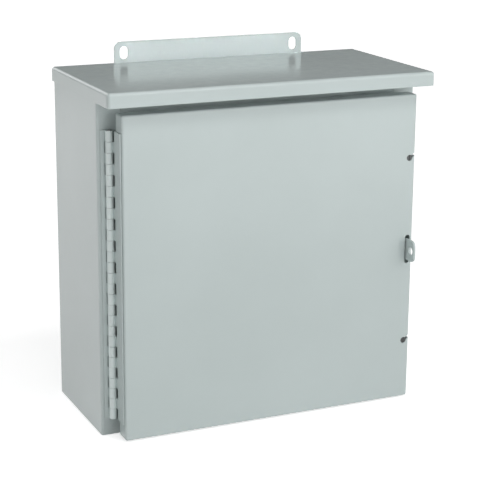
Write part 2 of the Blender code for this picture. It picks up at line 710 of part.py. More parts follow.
def make_stud(name, x, z, base_y, profile):
    """A stud turned round a line that runs forward from base_y."""
    bm = bmesh.new()
    add_turned(bm, profile, SMALL_SIDES)
    bm.transform(Matrix.Translation((x, base_y, z)) @ TO_FRONT)
    return piece(name, bm, ZINC, round_sides=True)


def make_nut(name, x, z, back_y):
    """Hexagon nut on a stud, its rear face at back_y."""
    bm = bmesh.new()
    centre = (x, back_y - NUT_HEIGHT / 2, z)
    add_cylinder(bm, centre, NUT_FLATS / 2 / cos(pi / 6), NUT_HEIGHT, TO_FRONT, sides=6)
    nut = piece(name, bm, ZINC)
    hole = bmesh.new()
    add_cylinder(hole, centre, STUD_RADIUS + GAP, NUT_HEIGHT + 2 * CUT_OVER, TO_FRONT)
    combine(nut, hole, "DIFFERENCE")


def make_panel_fixings():
    """Weld studs with a stand-off collar, and the nuts that hold the panel."""
    end = STUD_STANDOFF + STUD_THREAD
    profile = ((0.0, 0.0), (STUD_COLLAR, 0.0), (STUD_COLLAR, STUD_STANDOFF),
               (STUD_RADIUS, STUD_STANDOFF), (STUD_RADIUS, end), (0.0, end))
    for label, x, z in panel_corners():
        make_stud("panel_stud_" + label, x, z, BACK_Y - SHEET - GAP, profile)
        make_nut("panel_nut_" + label, x, z, PANEL_Y - GAP)


def make_ground_stud():
    """Bonding stud through the panel, headed behind it, with its nut."""
    head = STUD_STANDOFF / 4
    end = head + PANEL_SHEET + STUD_THREAD
    profile = ((0.0, 0.0), (STUD_COLLAR, 0.0), (STUD_COLLAR, head), (STUD_RADIUS, head),
               (STUD_RADIUS, end), (0.0, end))
    make_stud("ground_stud", GROUND_X, GROUND_Z, PANEL_Y + PANEL_SHEET + GAP + head, profile)
    make_nut("ground_nut", GROUND_X, GROUND_Z, PANEL_Y - GAP)


# --- Rail and devices -----------------------------------------------------

def make_rail():
    """Top-hat rail, its open side to the front."""
    back = off_panel(GAP)
    front = back - (RAIL_DEPTH - RAIL_SHEET)
    outline = [(front, -RAIL_HALF_LIP), (front, -RAIL_HALF_BASE), (back, -RAIL_HALF_BASE),
               (back, RAIL_HALF_BASE), (front, RAIL_HALF_BASE), (front, RAIL_HALF_LIP)]
    outline = [(y, RAIL_MIDDLE + z) for y, z in outline]
    bm = folded_strip(outline, "X", -RAIL_HALF_LENGTH, RAIL_HALF_LENGTH)
    rail = piece("din_rail", bm, ZINC)
    thicken(rail, RAIL_SHEET)
    holes = bmesh.new()
    for side in (-1, 1):
        add_cylinder(holes, (side * RAIL_SCREW_X, back - RAIL_SHEET / 2, RAIL_MIDDLE),
                     SCREW_HOLE, RAIL_SHEET + 2 * CUT_OVER, TO_FRONT)
    combine(rail, holes, "DIFFERENCE")


def make_rail_screws():
    """Pan-head screws that clamp the rail to the panel."""
    seat = GAP + RAIL_SHEET + GAP
    profile = ((0.0, -SCREW_END), (SCREW_SHANK, -SCREW_END), (SCREW_SHANK, seat),
               (SCREW_HEAD, seat), (SCREW_HEAD, seat + SCREW_HEAD_HEIGHT),
               (0.0, seat + SCREW_HEAD_HEIGHT))
    for label, side in (("left", -1), ("right", 1)):
        bm = bmesh.new()
        add_turned(bm, profile, SMALL_SIDES)
        place = Matrix.Translation((side * RAIL_SCREW_X, PANEL_Y, RAIL_MIDDLE))
        bm.transform(place @ TO_FRONT)
        piece("rail_screw_" + label, bm, ZINC, round_sides=True)


def case_outline():
    """Side view of a rail-mounted device: rail seat behind, nose in front."""
    seat = RAIL_HALF_LIP + SEAT_PLAY
    half = [(CASE_SEAT + GAP, seat), (CASE_BACK, seat), (CASE_BACK, CASE_HALF_HEIGHT),
            (CASE_SHOULDER, CASE_HALF_HEIGHT), (CASE_SHOULDER, CASE_NOSE_HALF + CASE_SLOPE),
            (CASE_NOSE, CASE_NOSE_HALF)]
    points = half + [(depth, -rise) for depth, rise in reversed(half)]
    return [(off_panel(depth), RAIL_MIDDLE + rise) for depth, rise in points]


def lever_outline(centre):
    """A round hub with a short lever that points forward and down."""
    spread = TOGGLE_HALF_THICK / TOGGLE_RADIUS
    points = []
    for step in range(TOGGLE_SIDES + 1):
        angle = spread + (2 * pi - 2 * spread) * step / TOGGLE_SIDES
        points.append((TOGGLE_RADIUS * cos(angle), TOGGLE_RADIUS * sin(angle)))
    points += [(TOGGLE_REACH, -TOGGLE_HALF_THICK), (TOGGLE_REACH, TOGGLE_HALF_THICK)]
    turned = []
    for out, rise in points:
        forward = out * cos(TOGGLE_OFF) - rise * sin(TOGGLE_OFF)
        up = out * sin(TOGGLE_OFF) + rise * cos(TOGGLE_OFF)
        turned.append((centre[1] - forward, centre[2] + up))
    return turned


def make_device(name, left, width, toggle_width):
    """A switching device: case with a lever pocket, and the lever itself."""
    low = left + MODULE_GAP / 2
    high = left + width - MODULE_GAP / 2
    middle = left + width / 2
    bm = bmesh.new()
    add_prism(bm, case_outline(), "X", low, high)
    case = piece(name + "_case", bm, LIGHT_PLASTIC)
    pocket = bmesh.new()
    half = toggle_width / 2 + POCKET_SIDE_GAP
    centre = (middle, off_panel(TOGGLE_PIVOT), RAIL_MIDDLE)
    outline = []
    for step in range(TOGGLE_SIDES + 1):
        angle = pi * step / TOGGLE_SIDES
        outline.append((centre[1] + TOGGLE_POCKET * sin(angle),
                        RAIL_MIDDLE + TOGGLE_POCKET * cos(angle)))
    mouth = off_panel(CASE_NOSE + CUT_OVER)
    outline += [(mouth, RAIL_MIDDLE - TOGGLE_POCKET), (mouth, RAIL_MIDDLE + TOGGLE_POCKET)]
    add_prism(pocket, outline, "X", middle - half, middle + half)
    combine(case, pocket, "DIFFERENCE")

    axis = pivot(name + "_toggle_axis", centre)
    bm = bmesh.new()
    outline = lever_outline(centre)
    add_prism(bm, outline, "X", middle - toggle_width / 2, middle + toggle_width / 2)
    toggle = piece(name + "_toggle", bm, DARK_PLASTIC, round_sides=True)
    hang(toggle, axis)


def make_row():
    """Main switch, branch breakers and the stops at both ends of the row."""
    make_device("main_switch", -ROW_HALF, MAIN_MODULES * MODULE, MAIN_TOGGLE_WIDTH)
    first = -ROW_HALF + MAIN_MODULES * MODULE
    for index in range(BREAKER_COUNT):
        make_device("breaker_%d" % (index + 1), first + index * MODULE, MODULE,
                    BREAKER_TOGGLE_WIDTH)
    seat = RAIL_HALF_LIP + SEAT_PLAY
    outline = [(CASE_SEAT + GAP, seat), (CASE_BACK, seat), (CASE_BACK, STOP_HALF_HEIGHT),
               (STOP_DEPTH, STOP_HALF_HEIGHT)]
    outline += [(depth, -rise) for depth, rise in reversed(outline)]
    outline = [(off_panel(depth), RAIL_MIDDLE + rise) for depth, rise in outline]
    for label, left in (("left", -ROW_HALF - STOP_WIDTH), ("right", ROW_HALF)):
        bm = bmesh.new()
        add_prism(bm, outline, "X", left + MODULE_GAP / 2, left + STOP_WIDTH - MODULE_GAP / 2)
        piece("rail_stop_" + label, bm, LIGHT_PLASTIC)


# --- Terminal bars --------------------------------------------------------

def make_bar(label, height, standoff, support_finish):
    """Terminal bar with wire holes, on a support near each end."""
    back = off_panel(GAP + standoff + GAP)
    half = BAR_SIZE / 2
    bar = block(label + "_bar", (-BAR_HALF_LENGTH, back - BAR_SIZE, height - half),
                (BAR_HALF_LENGTH, back, height + half), BRASS)
    holes = bmesh.new()
    for index in range(BAR_HOLES):
        x = (index - (BAR_HOLES - 1) / 2) * BAR_HOLE_PITCH
        add_cylinder(holes, (x, back - BAR_SIZE / 2, height), BAR_HOLE_RADIUS,
                     BAR_SIZE + 2 * CUT_OVER, sides=8)
    combine(bar, holes, "DIFFERENCE")
    for side, right in (("left", -1), ("right", 1)):
        x = right * (BAR_HALF_LENGTH - SUPPORT_INSET)
        block("%s_support_%s" % (label, side),
              (x - SUPPORT_WIDTH / 2, back + GAP, height - SUPPORT_HEIGHT / 2),
              (x + SUPPORT_WIDTH / 2, off_panel(GAP), height + SUPPORT_HEIGHT / 2),
              support_finish)


def build():
    for obj in list(bpy.data.objects):
        bpy.data.objects.remove(obj, do_unlink=True)
    make_body_wrap()
    make_end_cap("body_floor", 0.0, COLLAR_LOW)
    make_end_cap("body_roof", BODY_HEIGHT, COLLAR_HIGH)
    make_collar()
    make_drip_shield()
    make_mounting_bracket()
    make_staple()
    door_axis = pivot("door_axis", (HINGE_X, ahead(HINGE_AHEAD), 0.0))
    make_door(door_axis)
    make_body_leaf()
    make_door_leaf(door_axis)
    make_hinge_pin()
    for label, height in LATCH_HEIGHTS.items():
        make_latch(label, height, door_axis)
    make_panel()
    make_panel_fixings()
    make_ground_stud()
    make_rail()
    make_rail_screws()
    make_row()
    supports = {"neutral": BLUE_PLASTIC, "earth": ZINC}
    for label, (rise, standoff) in BAR_ROWS.items():
        make_bar(label, PANEL_MIDDLE + rise, standoff, supports[label])


build()
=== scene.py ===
# %% [markdown]
# # A rain-shielded wall cabinet, dressed for the camera
#
# The cabinet is a small outdoor switchboard enclosure made of folded sheet steel: a body, a drip
# shield over the top, a bracket that hangs it on a wall, and a door pan on a continuous hinge.
# The measured model gives every place and size. This lesson makes the folded skins again with fine
# bends, adds the small parts that make them believable, and gives each surface its finish.

# %% Load the measured model
import json
from math import cos, pi, radians, sin

import bmesh
import bpy
from mathutils import Matrix, Vector

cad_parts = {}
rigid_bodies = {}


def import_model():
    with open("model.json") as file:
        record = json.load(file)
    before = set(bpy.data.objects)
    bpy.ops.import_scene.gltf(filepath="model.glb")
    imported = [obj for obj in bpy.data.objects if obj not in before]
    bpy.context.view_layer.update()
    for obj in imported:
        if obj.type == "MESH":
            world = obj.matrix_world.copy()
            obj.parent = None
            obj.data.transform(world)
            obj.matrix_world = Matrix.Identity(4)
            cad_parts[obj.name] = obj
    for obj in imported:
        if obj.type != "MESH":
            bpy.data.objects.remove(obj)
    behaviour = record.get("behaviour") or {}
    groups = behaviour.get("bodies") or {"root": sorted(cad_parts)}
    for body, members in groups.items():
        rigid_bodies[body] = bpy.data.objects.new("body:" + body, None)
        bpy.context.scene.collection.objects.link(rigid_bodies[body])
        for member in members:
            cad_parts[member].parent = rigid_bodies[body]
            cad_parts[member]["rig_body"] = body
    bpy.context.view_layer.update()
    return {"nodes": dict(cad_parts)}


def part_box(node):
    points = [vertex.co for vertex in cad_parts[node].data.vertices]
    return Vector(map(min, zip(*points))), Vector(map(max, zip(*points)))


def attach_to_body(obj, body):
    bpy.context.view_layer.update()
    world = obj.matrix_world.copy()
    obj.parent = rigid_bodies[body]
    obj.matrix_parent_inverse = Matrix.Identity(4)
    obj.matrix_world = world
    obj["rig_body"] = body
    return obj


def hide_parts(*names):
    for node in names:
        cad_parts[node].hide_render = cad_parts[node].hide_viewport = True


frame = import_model()
nodes = frame["nodes"]
MM = 0.001
OVER = 1 * MM  # how far a cutting shape reaches past what it cuts

# %% [markdown]
# ## Working like a modeller, in code
#
# Blender's operators act on what is selected, so each step first clears the selection and then picks
# faces, edges or points by their place or direction. A few helpers cover nearly everything: they
# enter edit mode, pick, extrude, turn, apply a modifier, and combine one shape with another.

# %% Selecting and applying
def clear_selection():
    if bpy.context.mode != "OBJECT":
        bpy.ops.object.mode_set(mode="OBJECT")
    bpy.ops.object.select_all(action="DESELECT")


def activate(obj):
    clear_selection()
    obj.select_set(True)
    bpy.context.view_layer.objects.active = obj


def edit(obj):
    activate(obj)
    bpy.ops.object.mode_set(mode="EDIT")


def leave_edit():
    bpy.ops.object.mode_set(mode="OBJECT")


def pick(obj, kind, test):
    """In edit mode, select the VERT, EDGE or FACE items that pass a test."""
    bpy.ops.mesh.select_mode(type=kind)
    bpy.ops.mesh.select_all(action="DESELECT")
    bm = bmesh.from_edit_mesh(obj.data)
    items = {"VERT": bm.verts, "EDGE": bm.edges, "FACE": bm.faces}[kind]
    chosen = [item for item in items if test(item)]
    for item in chosen:
        item.select_set(True)
    bm.select_flush_mode()
    bmesh.update_edit_mesh(obj.data)
    return len(chosen)


def pick_all():
    bpy.ops.mesh.select_all(action="SELECT")


def apply_modifier(obj, kind, **settings):
    activate(obj)
    modifier = obj.modifiers.new(kind.lower(), kind)
    for key, value in settings.items():
        setattr(modifier, key, value)
    bpy.ops.object.modifier_apply(modifier=modifier.name)


def discard(obj):
    bpy.data.objects.remove(obj, do_unlink=True)


def combine(obj, other, operation):
    """Join, cut or intersect with another shape, and throw that shape away."""
    apply_modifier(obj, "BOOLEAN", operation=operation, solver="EXACT", object=other)
    discard(other)


def cut(obj, tool):
    combine(obj, tool, "DIFFERENCE")


def extrude(move):
    bpy.ops.mesh.extrude_region_move(TRANSFORM_OT_translate={"value": move})


def slice_at(height):
    """Add edges all round the shape at a height."""
    pick_all()
    bpy.ops.mesh.bisect(plane_co=(0.0, 0.0, height), plane_no=(0.0, 0.0, 1.0))


def turn_all(obj, angle, axis, centre):
    """Turn a whole shape about an axis through a point."""
    edit(obj)
    pick_all()
    bpy.ops.transform.rotate(value=angle, orient_axis=axis, center_override=centre)
    leave_edit()


# %% Starting shapes
SIDES = 32


def middle_of(node):
    low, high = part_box(node)
    return (low + high) / 2


def settle(name):
    """Name the new primitive, and move its place, turn and size into its mesh."""
    obj = bpy.context.object
    obj.name = name
    obj.data.name = name
    bpy.ops.object.transform_apply(location=True, rotation=True, scale=True)
    return obj


def block(name, low, high):
    clear_selection()
    low, high = Vector(low), Vector(high)
    bpy.ops.mesh.primitive_cube_add(size=1.0, location=(low + high) / 2)
    bpy.context.object.scale = high - low
    return settle(name)


def rod(name, start, end, radius, sides=SIDES):
    """A cylinder between two points, no vertex of it level with its middle."""
    clear_selection()
    start, end = Vector(start), Vector(end)
    line = end - start
    turn = line.to_track_quat("Z", "Y") @ Matrix.Rotation(pi / sides, 3, "Z").to_quaternion()
    bpy.ops.mesh.primitive_cone_add(vertices=sides, radius1=radius, radius2=radius,
                                    depth=line.length, location=(start + end) / 2,
                                    rotation=turn.to_euler())
    return settle(name)


def rod_y(name, x, z, start, end, radius, sides=SIDES):
    """A rod along Y, from one depth to another."""
    return rod(name, (x, start, z), (x, end, z), radius, sides)


def turned(name, start, way, steps):
    """A part turned on a lathe: a cylinder grown step by step, each step a (radius, length)."""
    start, way = Vector(start), Vector(way)
    radius, length = steps[0]
    end = start + way * length
    obj = rod(name, start, end, radius)
    edit(obj)
    for next_radius, length in steps[1:]:
        pick(obj, "FACE", lambda face: len(face.verts) == SIDES
             and (face.calc_center_median() - end).length < 0.01 * MM)
        if next_radius != radius:
            extrude((0.0, 0.0, 0.0))
            bpy.ops.transform.resize(value=[next_radius / radius] * 3, center_override=end)
        extrude(way * length)
        radius = next_radius
        end = end + way * length
    leave_edit()
    return obj


def copied(obj, name, move):
    """A copy with its own mesh, its new place in the mesh."""
    activate(obj)
    bpy.ops.object.duplicate()
    bpy.context.object.location = move
    return settle(name)


def joined(name, objs):
    """One piece made of several bodies."""
    clear_selection()
    for obj in objs:
        obj.select_set(True)
    bpy.context.view_layer.objects.active = objs[0]
    bpy.ops.object.join()
    return settle(name)


def flat_sheet(name, low, high):
    """A flat open sheet whose box has no thickness along one axis."""
    clear_selection()
    low, high = Vector(low), Vector(high)
    size = high - low
    turn = (0.0, 0.0, 0.0)
    scale = (size.x, size.y, 1.0)
    if size.y == 0.0:
        turn = (pi / 2, 0.0, 0.0)
        scale = (size.x, size.z, 1.0)
    if size.x == 0.0:
        turn = (0.0, pi / 2, 0.0)
        scale = (size.z, size.y, 1.0)
    bpy.ops.mesh.primitive_plane_add(size=1.0, location=(low + high) / 2, rotation=turn)
    bpy.context.object.scale = scale
    return settle(name)


# %% [markdown]
# ## Sheet metal
#
# A press brake folds a flat blank along straight lines, and each fold has an outer radius of about
# two sheet thicknesses. The same order works here: draw the outer face of the blank, pull flanges
# from its edges, round the folds, and only then give the sheet its thickness on the inner side. A
# solid block with rounded edges would look alike from outside, but not with the door open.

# %% Fold, thicken and finish a sheet
NEAR = 0.05 * MM
MERGED = 0.005 * MM
BEND_SEGMENTS = 8
SHEET = 1.6 * MM
BODY_BEND = 3.0 * MM
DOOR_BEND = 2.5 * MM
CUT_EDGE = 0.25 * MM
SHARP_ANGLE = radians(50.0)
X, Y, Z = 0, 1, 2


def at(value, goal):
    return abs(value - goal) < NEAR


def on_plane(axis, value):
    """A test for the edges that lie in a plane across an axis."""
    return lambda edge: all(at(v.co[axis], value) for v in edge.verts)


def pull_flange(obj, test, move):
    """Extrude the picked free edges, and not the face between them, into a flange."""
    pick(obj, "EDGE", lambda edge: edge.is_boundary and test(edge))
    bpy.ops.mesh.extrude_edges_move(TRANSFORM_OT_translate={"value": move})


def round_folds(obj, radius):
    pick(obj, "EDGE", lambda edge: len(edge.link_faces) == 2 and edge.calc_face_angle() > 0.1)
    bpy.ops.mesh.bevel(offset=radius, segments=BEND_SEGMENTS, affect="EDGES")


def turn_outwards(obj, inside):
    """Make an open sheet's faces point away from a point on its inner side."""
    pick_all()
    bpy.ops.mesh.normals_make_consistent(inside=False)
    bm = bmesh.from_edit_mesh(obj.data)
    lean = sum((f.calc_center_median() - Vector(inside)).dot(f.normal) * f.calc_area()
               for f in bm.faces)
    if lean < 0:
        bpy.ops.mesh.flip_normals()


def close_folds(obj, inside, radius, thickness):
    """Turn the sheet's faces outwards, round its folds, and give it a thickness."""
    turn_outwards(obj, inside)
    round_folds(obj, radius)
    leave_edit()
    apply_modifier(obj, "SOLIDIFY", thickness=thickness, offset=-1.0, use_even_offset=True,
                   use_quality_normals=True)


def merge_close(obj):
    """Join points that all but touch, so that no face is left without an area."""
    edit(obj)
    pick_all()
    bpy.ops.mesh.remove_doubles(threshold=MERGED)
    bpy.ops.mesh.dissolve_degenerate(threshold=MERGED)
    bpy.ops.mesh.delete_loose(use_verts=True, use_edges=True, use_faces=False)
    bpy.ops.mesh.normals_make_consistent(inside=False)
    leave_edit()


def soften(obj, width=CUT_EDGE, smooth_angle=30.0, segments=2):
    """Take the edge off every sharp corner, shade the round parts smooth and keep flats flat."""
    merge_close(obj)
    if width:
        apply_modifier(obj, "BEVEL", width=width, segments=segments, limit_method="ANGLE",
                       angle_limit=SHARP_ANGLE, use_clamp_overlap=True)
        merge_close(obj)
    activate(obj)
    bpy.ops.object.shade_smooth_by_angle(angle=radians(smooth_angle))
    apply_modifier(obj, "WEIGHTED_NORMAL", mode="FACE_AREA", weight=90, keep_sharp=True)


def stand_for(obj, node, finish):
    """The new piece takes a measured node's place and body, wears the given finish, and the node is
    hidden.
    """
    body = nodes[node]["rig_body"]
    low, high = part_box(node)
    mine = [Vector(corner) for corner in obj.bound_box]
    spread = max(max(abs(min(c[k] for c in mine) - low[k]), abs(max(c[k] for c in mine) - high[k]))
                 for k in range(3))
    obj.data.materials.clear()
    obj.data.materials.append(finish)
    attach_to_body(obj, body)
    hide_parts(node)
    print("%-24s %6d faces, box within %.2f mm" % (obj.name, len(obj.data.polygons), spread / MM))


def attach(obj, body, finish):
    """A small extra piece that rides on a body."""
    obj.data.materials.clear()
    obj.data.materials.append(finish)
    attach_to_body(obj, body)
    print("%-24s %6d faces, rides on %s" % (obj.name, len(obj.data.polygons), body))


# %% [markdown]
# ## Finishes
#
# Nearly all of the cabinet wears one finish: a light grey polyester powder coat. Powder melts into a
# film that is never quite flat, so light breaks up in a fine orange-peel ripple about a millimetre
# or two across, and the film is a little thicker, and so a little glossier, in some places. Both
# come from noise on object coordinates, which stay with the piece when the door opens.

# %% Node helpers
EVEN = (1.0, 1.0, 1.0)


def drive(mat, node, socket, source):
    """Feed a node's socket from another node's output, or set it to a value."""
    if isinstance(source, bpy.types.NodeSocket):
        mat.node_tree.links.new(source, node.inputs[socket])
    else:
        node.inputs[socket].default_value = source


def outputs_of(mat, kind, sockets, **settings):
    """Add a shader node, fill its sockets, and give its outputs."""
    node = mat.node_tree.nodes.new("ShaderNode" + kind)
    for key, value in settings.items():
        setattr(node, key, value)
    for socket, source in sockets.items():
        drive(mat, node, socket, source)
    return node.outputs


def new_finish(name, colour, roughness, metallic=0.0):
    mat = bpy.data.materials.new(name)
    mat.use_nodes = True
    shader = mat.node_tree.nodes["Principled BSDF"]
    drive(mat, shader, "Base Color", (*colour, 1.0))
    drive(mat, shader, "Roughness", roughness)
    drive(mat, shader, "Metallic", metallic)
    return mat, shader


def noise(mat, scale, detail, stretch=EVEN):
    """Noise on object coordinates; its scale is in waves per metre."""
    place = outputs_of(mat, "TexCoord", {})["Object"]
    mapped = outputs_of(mat, "Mapping", {"Vector": place, "Scale": stretch})["Vector"]
    return outputs_of(mat, "TexNoise", {"Vector": mapped, "Scale": scale, "Detail": detail})["Fac"]


def span(mat, source, low, high, start=0.3, end=0.7):
    """Map a pattern onto a range of values."""
    return outputs_of(mat, "MapRange", {"Value": source, "From Min": start, "From Max": end,
                                        "To Min": low, "To Max": high})["Result"]


def tint(mat, source, low, high):
    """Blend two colours by a pattern; the low one may be another node's output."""
    if isinstance(low, tuple):
        low = (*low, 1.0)
    return outputs_of(mat, "Mix", {"Factor": source, "A": low, "B": (*high, 1.0)},
                      data_type="RGBA")["Result"]


def ripple(mat, shader, source, depth, strength):
    """Raise the surface by a pattern, to a depth in metres."""
    bump = outputs_of(mat, "Bump", {"Strength": strength, "Distance": depth, "Height": source})
    drive(mat, shader, "Normal", bump["Normal"])


def distance_from(mat, centre, along):
    """Distance on object coordinates from a point, along the axes marked 1."""
    place = outputs_of(mat, "TexCoord", {})["Object"]
    back = [-c * a for c, a in zip(centre, along)]
    offset = outputs_of(mat, "VectorMath", {0: place, 1: along, 2: back}, operation="MULTIPLY_ADD")
    return outputs_of(mat, "VectorMath", {0: offset["Vector"]}, operation="LENGTH")["Value"]


def reckon(mat, operation, first, second):
    """A value worked out from two others."""
    return outputs_of(mat, "Math", {0: first, 1: second}, operation=operation)["Value"]


# %% Powder coat
PAINT = (0.530, 0.600, 0.594)
PAINT_SHADE = (0.511, 0.580, 0.573)
PAINT_ROUGHNESS = 0.17
PAINT_SMOOTH = 0.13
PAINT_ROUGH = 0.20
PEEL_WAVES = 520.0
PEEL_DEPTH = 0.06 * MM
# Soft edge of the painted highlight on the hinge knuckles.
HIGHLIGHT_FADE = 0.4 * MM


def powder_coat(name):
    mat, shader = new_finish(name, PAINT, PAINT_ROUGHNESS)
    cloud = span(mat, noise(mat, 7.0, 3.0), 0.0, 1.0, 0.35, 0.65)
    drive(mat, shader, "Base Color", tint(mat, cloud, PAINT_SHADE, PAINT))
    drive(mat, shader, "Roughness", span(mat, noise(mat, 90.0, 3.0), PAINT_SMOOTH, PAINT_ROUGH))
    ripple(mat, shader, noise(mat, PEEL_WAVES, 2.0), PEEL_DEPTH, 0.5)
    return mat


def paint_highlight_round(mat, colour, axis, radius):
    """Paint a highlight into a finish: make it paler within a radius of an upright axis."""
    near = span(mat, distance_from(mat, axis, (1.0, 1.0, 0.0)), 1.0, 0.0, radius, radius + HIGHLIGHT_FADE)
    shader = mat.node_tree.nodes["Principled BSDF"]
    usual = shader.inputs["Base Color"].links[0].from_socket
    drive(mat, shader, "Base Color", tint(mat, near, usual, colour))


paint = powder_coat("powder_coat")
print("paint", paint.name)

# %% [markdown]
# Inside the cabinet there are more finishes: bright zinc on rails and fasteners, black oxide on the
# latch stems, white enamel on the equipment panel, brass bars, and the moulded plastics of the
# switching devices. Each metal gets a stretched or cellular pattern that says how it was made.

# %% Metals
GRAIN_DEPTH = 0.02 * MM


def metal(name, colour, shade, roughness, scale, stretch=EVEN):
    mat, shader = new_finish(name, colour, roughness, 1.0)
    grain = noise(mat, scale, 4.0, stretch)
    drive(mat, shader, "Base Color", tint(mat, span(mat, grain, 0.0, 1.0), shade, colour))
    rough = span(mat, noise(mat, scale / 4, 2.0), roughness - 0.07, roughness + 0.09)
    drive(mat, shader, "Roughness", rough)
    ripple(mat, shader, grain, GRAIN_DEPTH, 0.4)
    return mat


zinc = metal("bright_zinc", (0.66, 0.67, 0.69), (0.56, 0.57, 0.60), 0.34, 260.0)
drawn_zinc = metal("rolled_zinc", (0.66, 0.67, 0.69), (0.58, 0.59, 0.61), 0.30, 60.0,
                   (1.0, 14.0, 14.0))
steel = metal("plain_steel", (0.50, 0.51, 0.52), (0.40, 0.41, 0.42), 0.30, 300.0)
black_oxide = metal("black_oxide", (0.13, 0.135, 0.135), (0.09, 0.095, 0.095), 0.42, 700.0)
brass = metal("drawn_brass", (0.68, 0.50, 0.21), (0.55, 0.39, 0.15), 0.30, 50.0, (1.0, 16.0, 16.0))
print("metals", [m.name for m in (zinc, drawn_zinc, steel, black_oxide, brass)])

# %% Enamel and plastics
MOULD_DEPTH = 0.04 * MM


def moulded(name, colour, shade, roughness, grain=900.0):
    mat, shader = new_finish(name, colour, roughness)
    cloud = span(mat, noise(mat, 30.0, 2.0), 0.0, 1.0)
    drive(mat, shader, "Base Color", tint(mat, cloud, shade, colour))
    rough = span(mat, noise(mat, 200.0, 2.0), roughness - 0.05, roughness + 0.05)
    drive(mat, shader, "Roughness", rough)
    ripple(mat, shader, noise(mat, grain, 3.0), MOULD_DEPTH, 0.5)
    return mat


enamel = moulded("white_enamel", (0.80, 0.81, 0.80), (0.77, 0.78, 0.775), 0.40, 450.0)
case_grey = moulded("moulded_case", (0.72, 0.72, 0.70), (0.69, 0.69, 0.672), 0.46)
lever_black = moulded("moulded_lever", (0.030, 0.030, 0.034), (0.024, 0.024, 0.028), 0.42)
insulator_blue = moulded("insulator_plastic", (0.03, 0.12, 0.40), (0.026, 0.10, 0.36), 0.45)
print("moulded", [m.name for m in (enamel, case_grey, lever_black, insulator_blue)])

# %% [markdown]
# ## The body and its shield
#
# The body is one wrapped sheet: back, both sides and a narrow return at each front edge. From a flat
# back panel, the sides are pulled forward and the returns inward. The drip shield is a roof sheet
# with three flanges, welded and ground at its front corners, where a fine seam stays visible. A
# notch in its rear edge lets the mounting bracket through.

# %% Cabinet shell
GAP = 0.3 * MM
COLLAR_LIP = 8.0 * MM
WALL_HOLE_RADIUS = 4.0 * MM
WALL_HOLE_Z = 27.0 * MM
DRILL_REACH = 6 * MM
SLOT_FROM_END = 12.5 * MM
wrap_low, wrap_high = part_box("body_wrap")
collar_low, collar_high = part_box("opening_collar")
bracket_low, bracket_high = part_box("upper_mounting_bracket")
slot_x = bracket_high.x - SLOT_FROM_END
opening_half = collar_high.x - COLLAR_LIP

shell = flat_sheet("cabinet_shell", (wrap_low.x, wrap_high.y, wrap_low.z), wrap_high)
edit(shell)
for side in (-1, 1):
    at_side = on_plane(X, side * wrap_high.x)
    pull_flange(shell, at_side, (0.0, wrap_low.y - wrap_high.y, 0.0))
    pull_flange(shell, lambda edge: at_side(edge) and on_plane(Y, wrap_low.y)(edge),
                (side * (opening_half + GAP - wrap_high.x), 0.0, 0.0))
close_folds(shell, (wrap_low + wrap_high) / 2, BODY_BEND, SHEET)
for side in (-1, 1):
    cut(shell, rod_y("drill", side * slot_x, WALL_HOLE_Z, wrap_high.y - DRILL_REACH,
                     wrap_high.y + DRILL_REACH, WALL_HOLE_RADIUS))
soften(shell)
stand_for(shell, "body_wrap", paint)

# %% Drip shield
shield_low, shield_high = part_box("drip_shield")
SEAM = 0.5 * MM
SHIELD_BEND = 3.6 * MM
shield = flat_sheet("rain_shield", (shield_low.x, shield_low.y, shield_high.z), shield_high)
edit(shield)
pull_flange(shield, lambda edge: not on_plane(Y, shield_high.y)(edge),
            (0.0, 0.0, shield_low.z - shield_high.z))
close_folds(shield, (0.0, 0.0, shield_low.z), SHIELD_BEND, SHEET)
notch_half = bracket_high.x + GAP
cut(shield, block("notch", (-notch_half, shield_high.y - BODY_BEND - GAP, shield_low.z),
                  (notch_half, shield_high.y + 2 * MM, shield_high.z + 2 * MM)))
for side in (-1, 1):
    seam_y = shield_low.y + SHIELD_BEND + SEAM
    cut(shield, block("seam", (side * shield_high.x - SEAM, seam_y, shield_low.z - SEAM),
                      (side * shield_high.x + SEAM, seam_y + SEAM, shield_high.z - SHIELD_BEND)))
soften(shield, 0.2 * MM)
stand_for(shield, "drip_shield", paint)

# %% [markdown]
# The floor and the roof of the body are two more folded sheets. Each has a narrow flange that closes
# the face below or above the opening, and its front corners are notched to clear the wrap's returns.
# Behind the face stands the collar, a frame that the door pan closes over, which keeps rain out. It
# starts as one flat face: an inset leaves its lip, and the middle is extruded forward into a tube.

# %% End sheets and collar
def end_sheet(name, node, outer_z, flange_z):
    low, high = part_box(node)
    sheet = flat_sheet(name, (low.x, low.y, outer_z), (high.x, high.y, outer_z))
    edit(sheet)
    pull_flange(sheet, on_plane(Y, low.y), (0.0, 0.0, flange_z - outer_z))
    close_folds(sheet, (0.0, high.y, flange_z), BODY_BEND, SHEET)
    for side in (-1, 1):
        near, far = sorted((side * collar_high.x - side * COLLAR_LIP, side * wrap_high.x))
        cut(sheet, block("corner", (near, low.y - SHEET, low.z - SHEET),
                         (far, low.y + SHEET + 2 * GAP, high.z + SHEET)))
    soften(sheet)
    stand_for(sheet, node, paint)


floor_low, floor_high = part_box("body_floor")
roof_low, roof_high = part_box("body_roof")
end_sheet("cabinet_floor", "body_floor", floor_low.z, floor_high.z)
end_sheet("cabinet_roof", "body_roof", roof_high.z, roof_low.z)

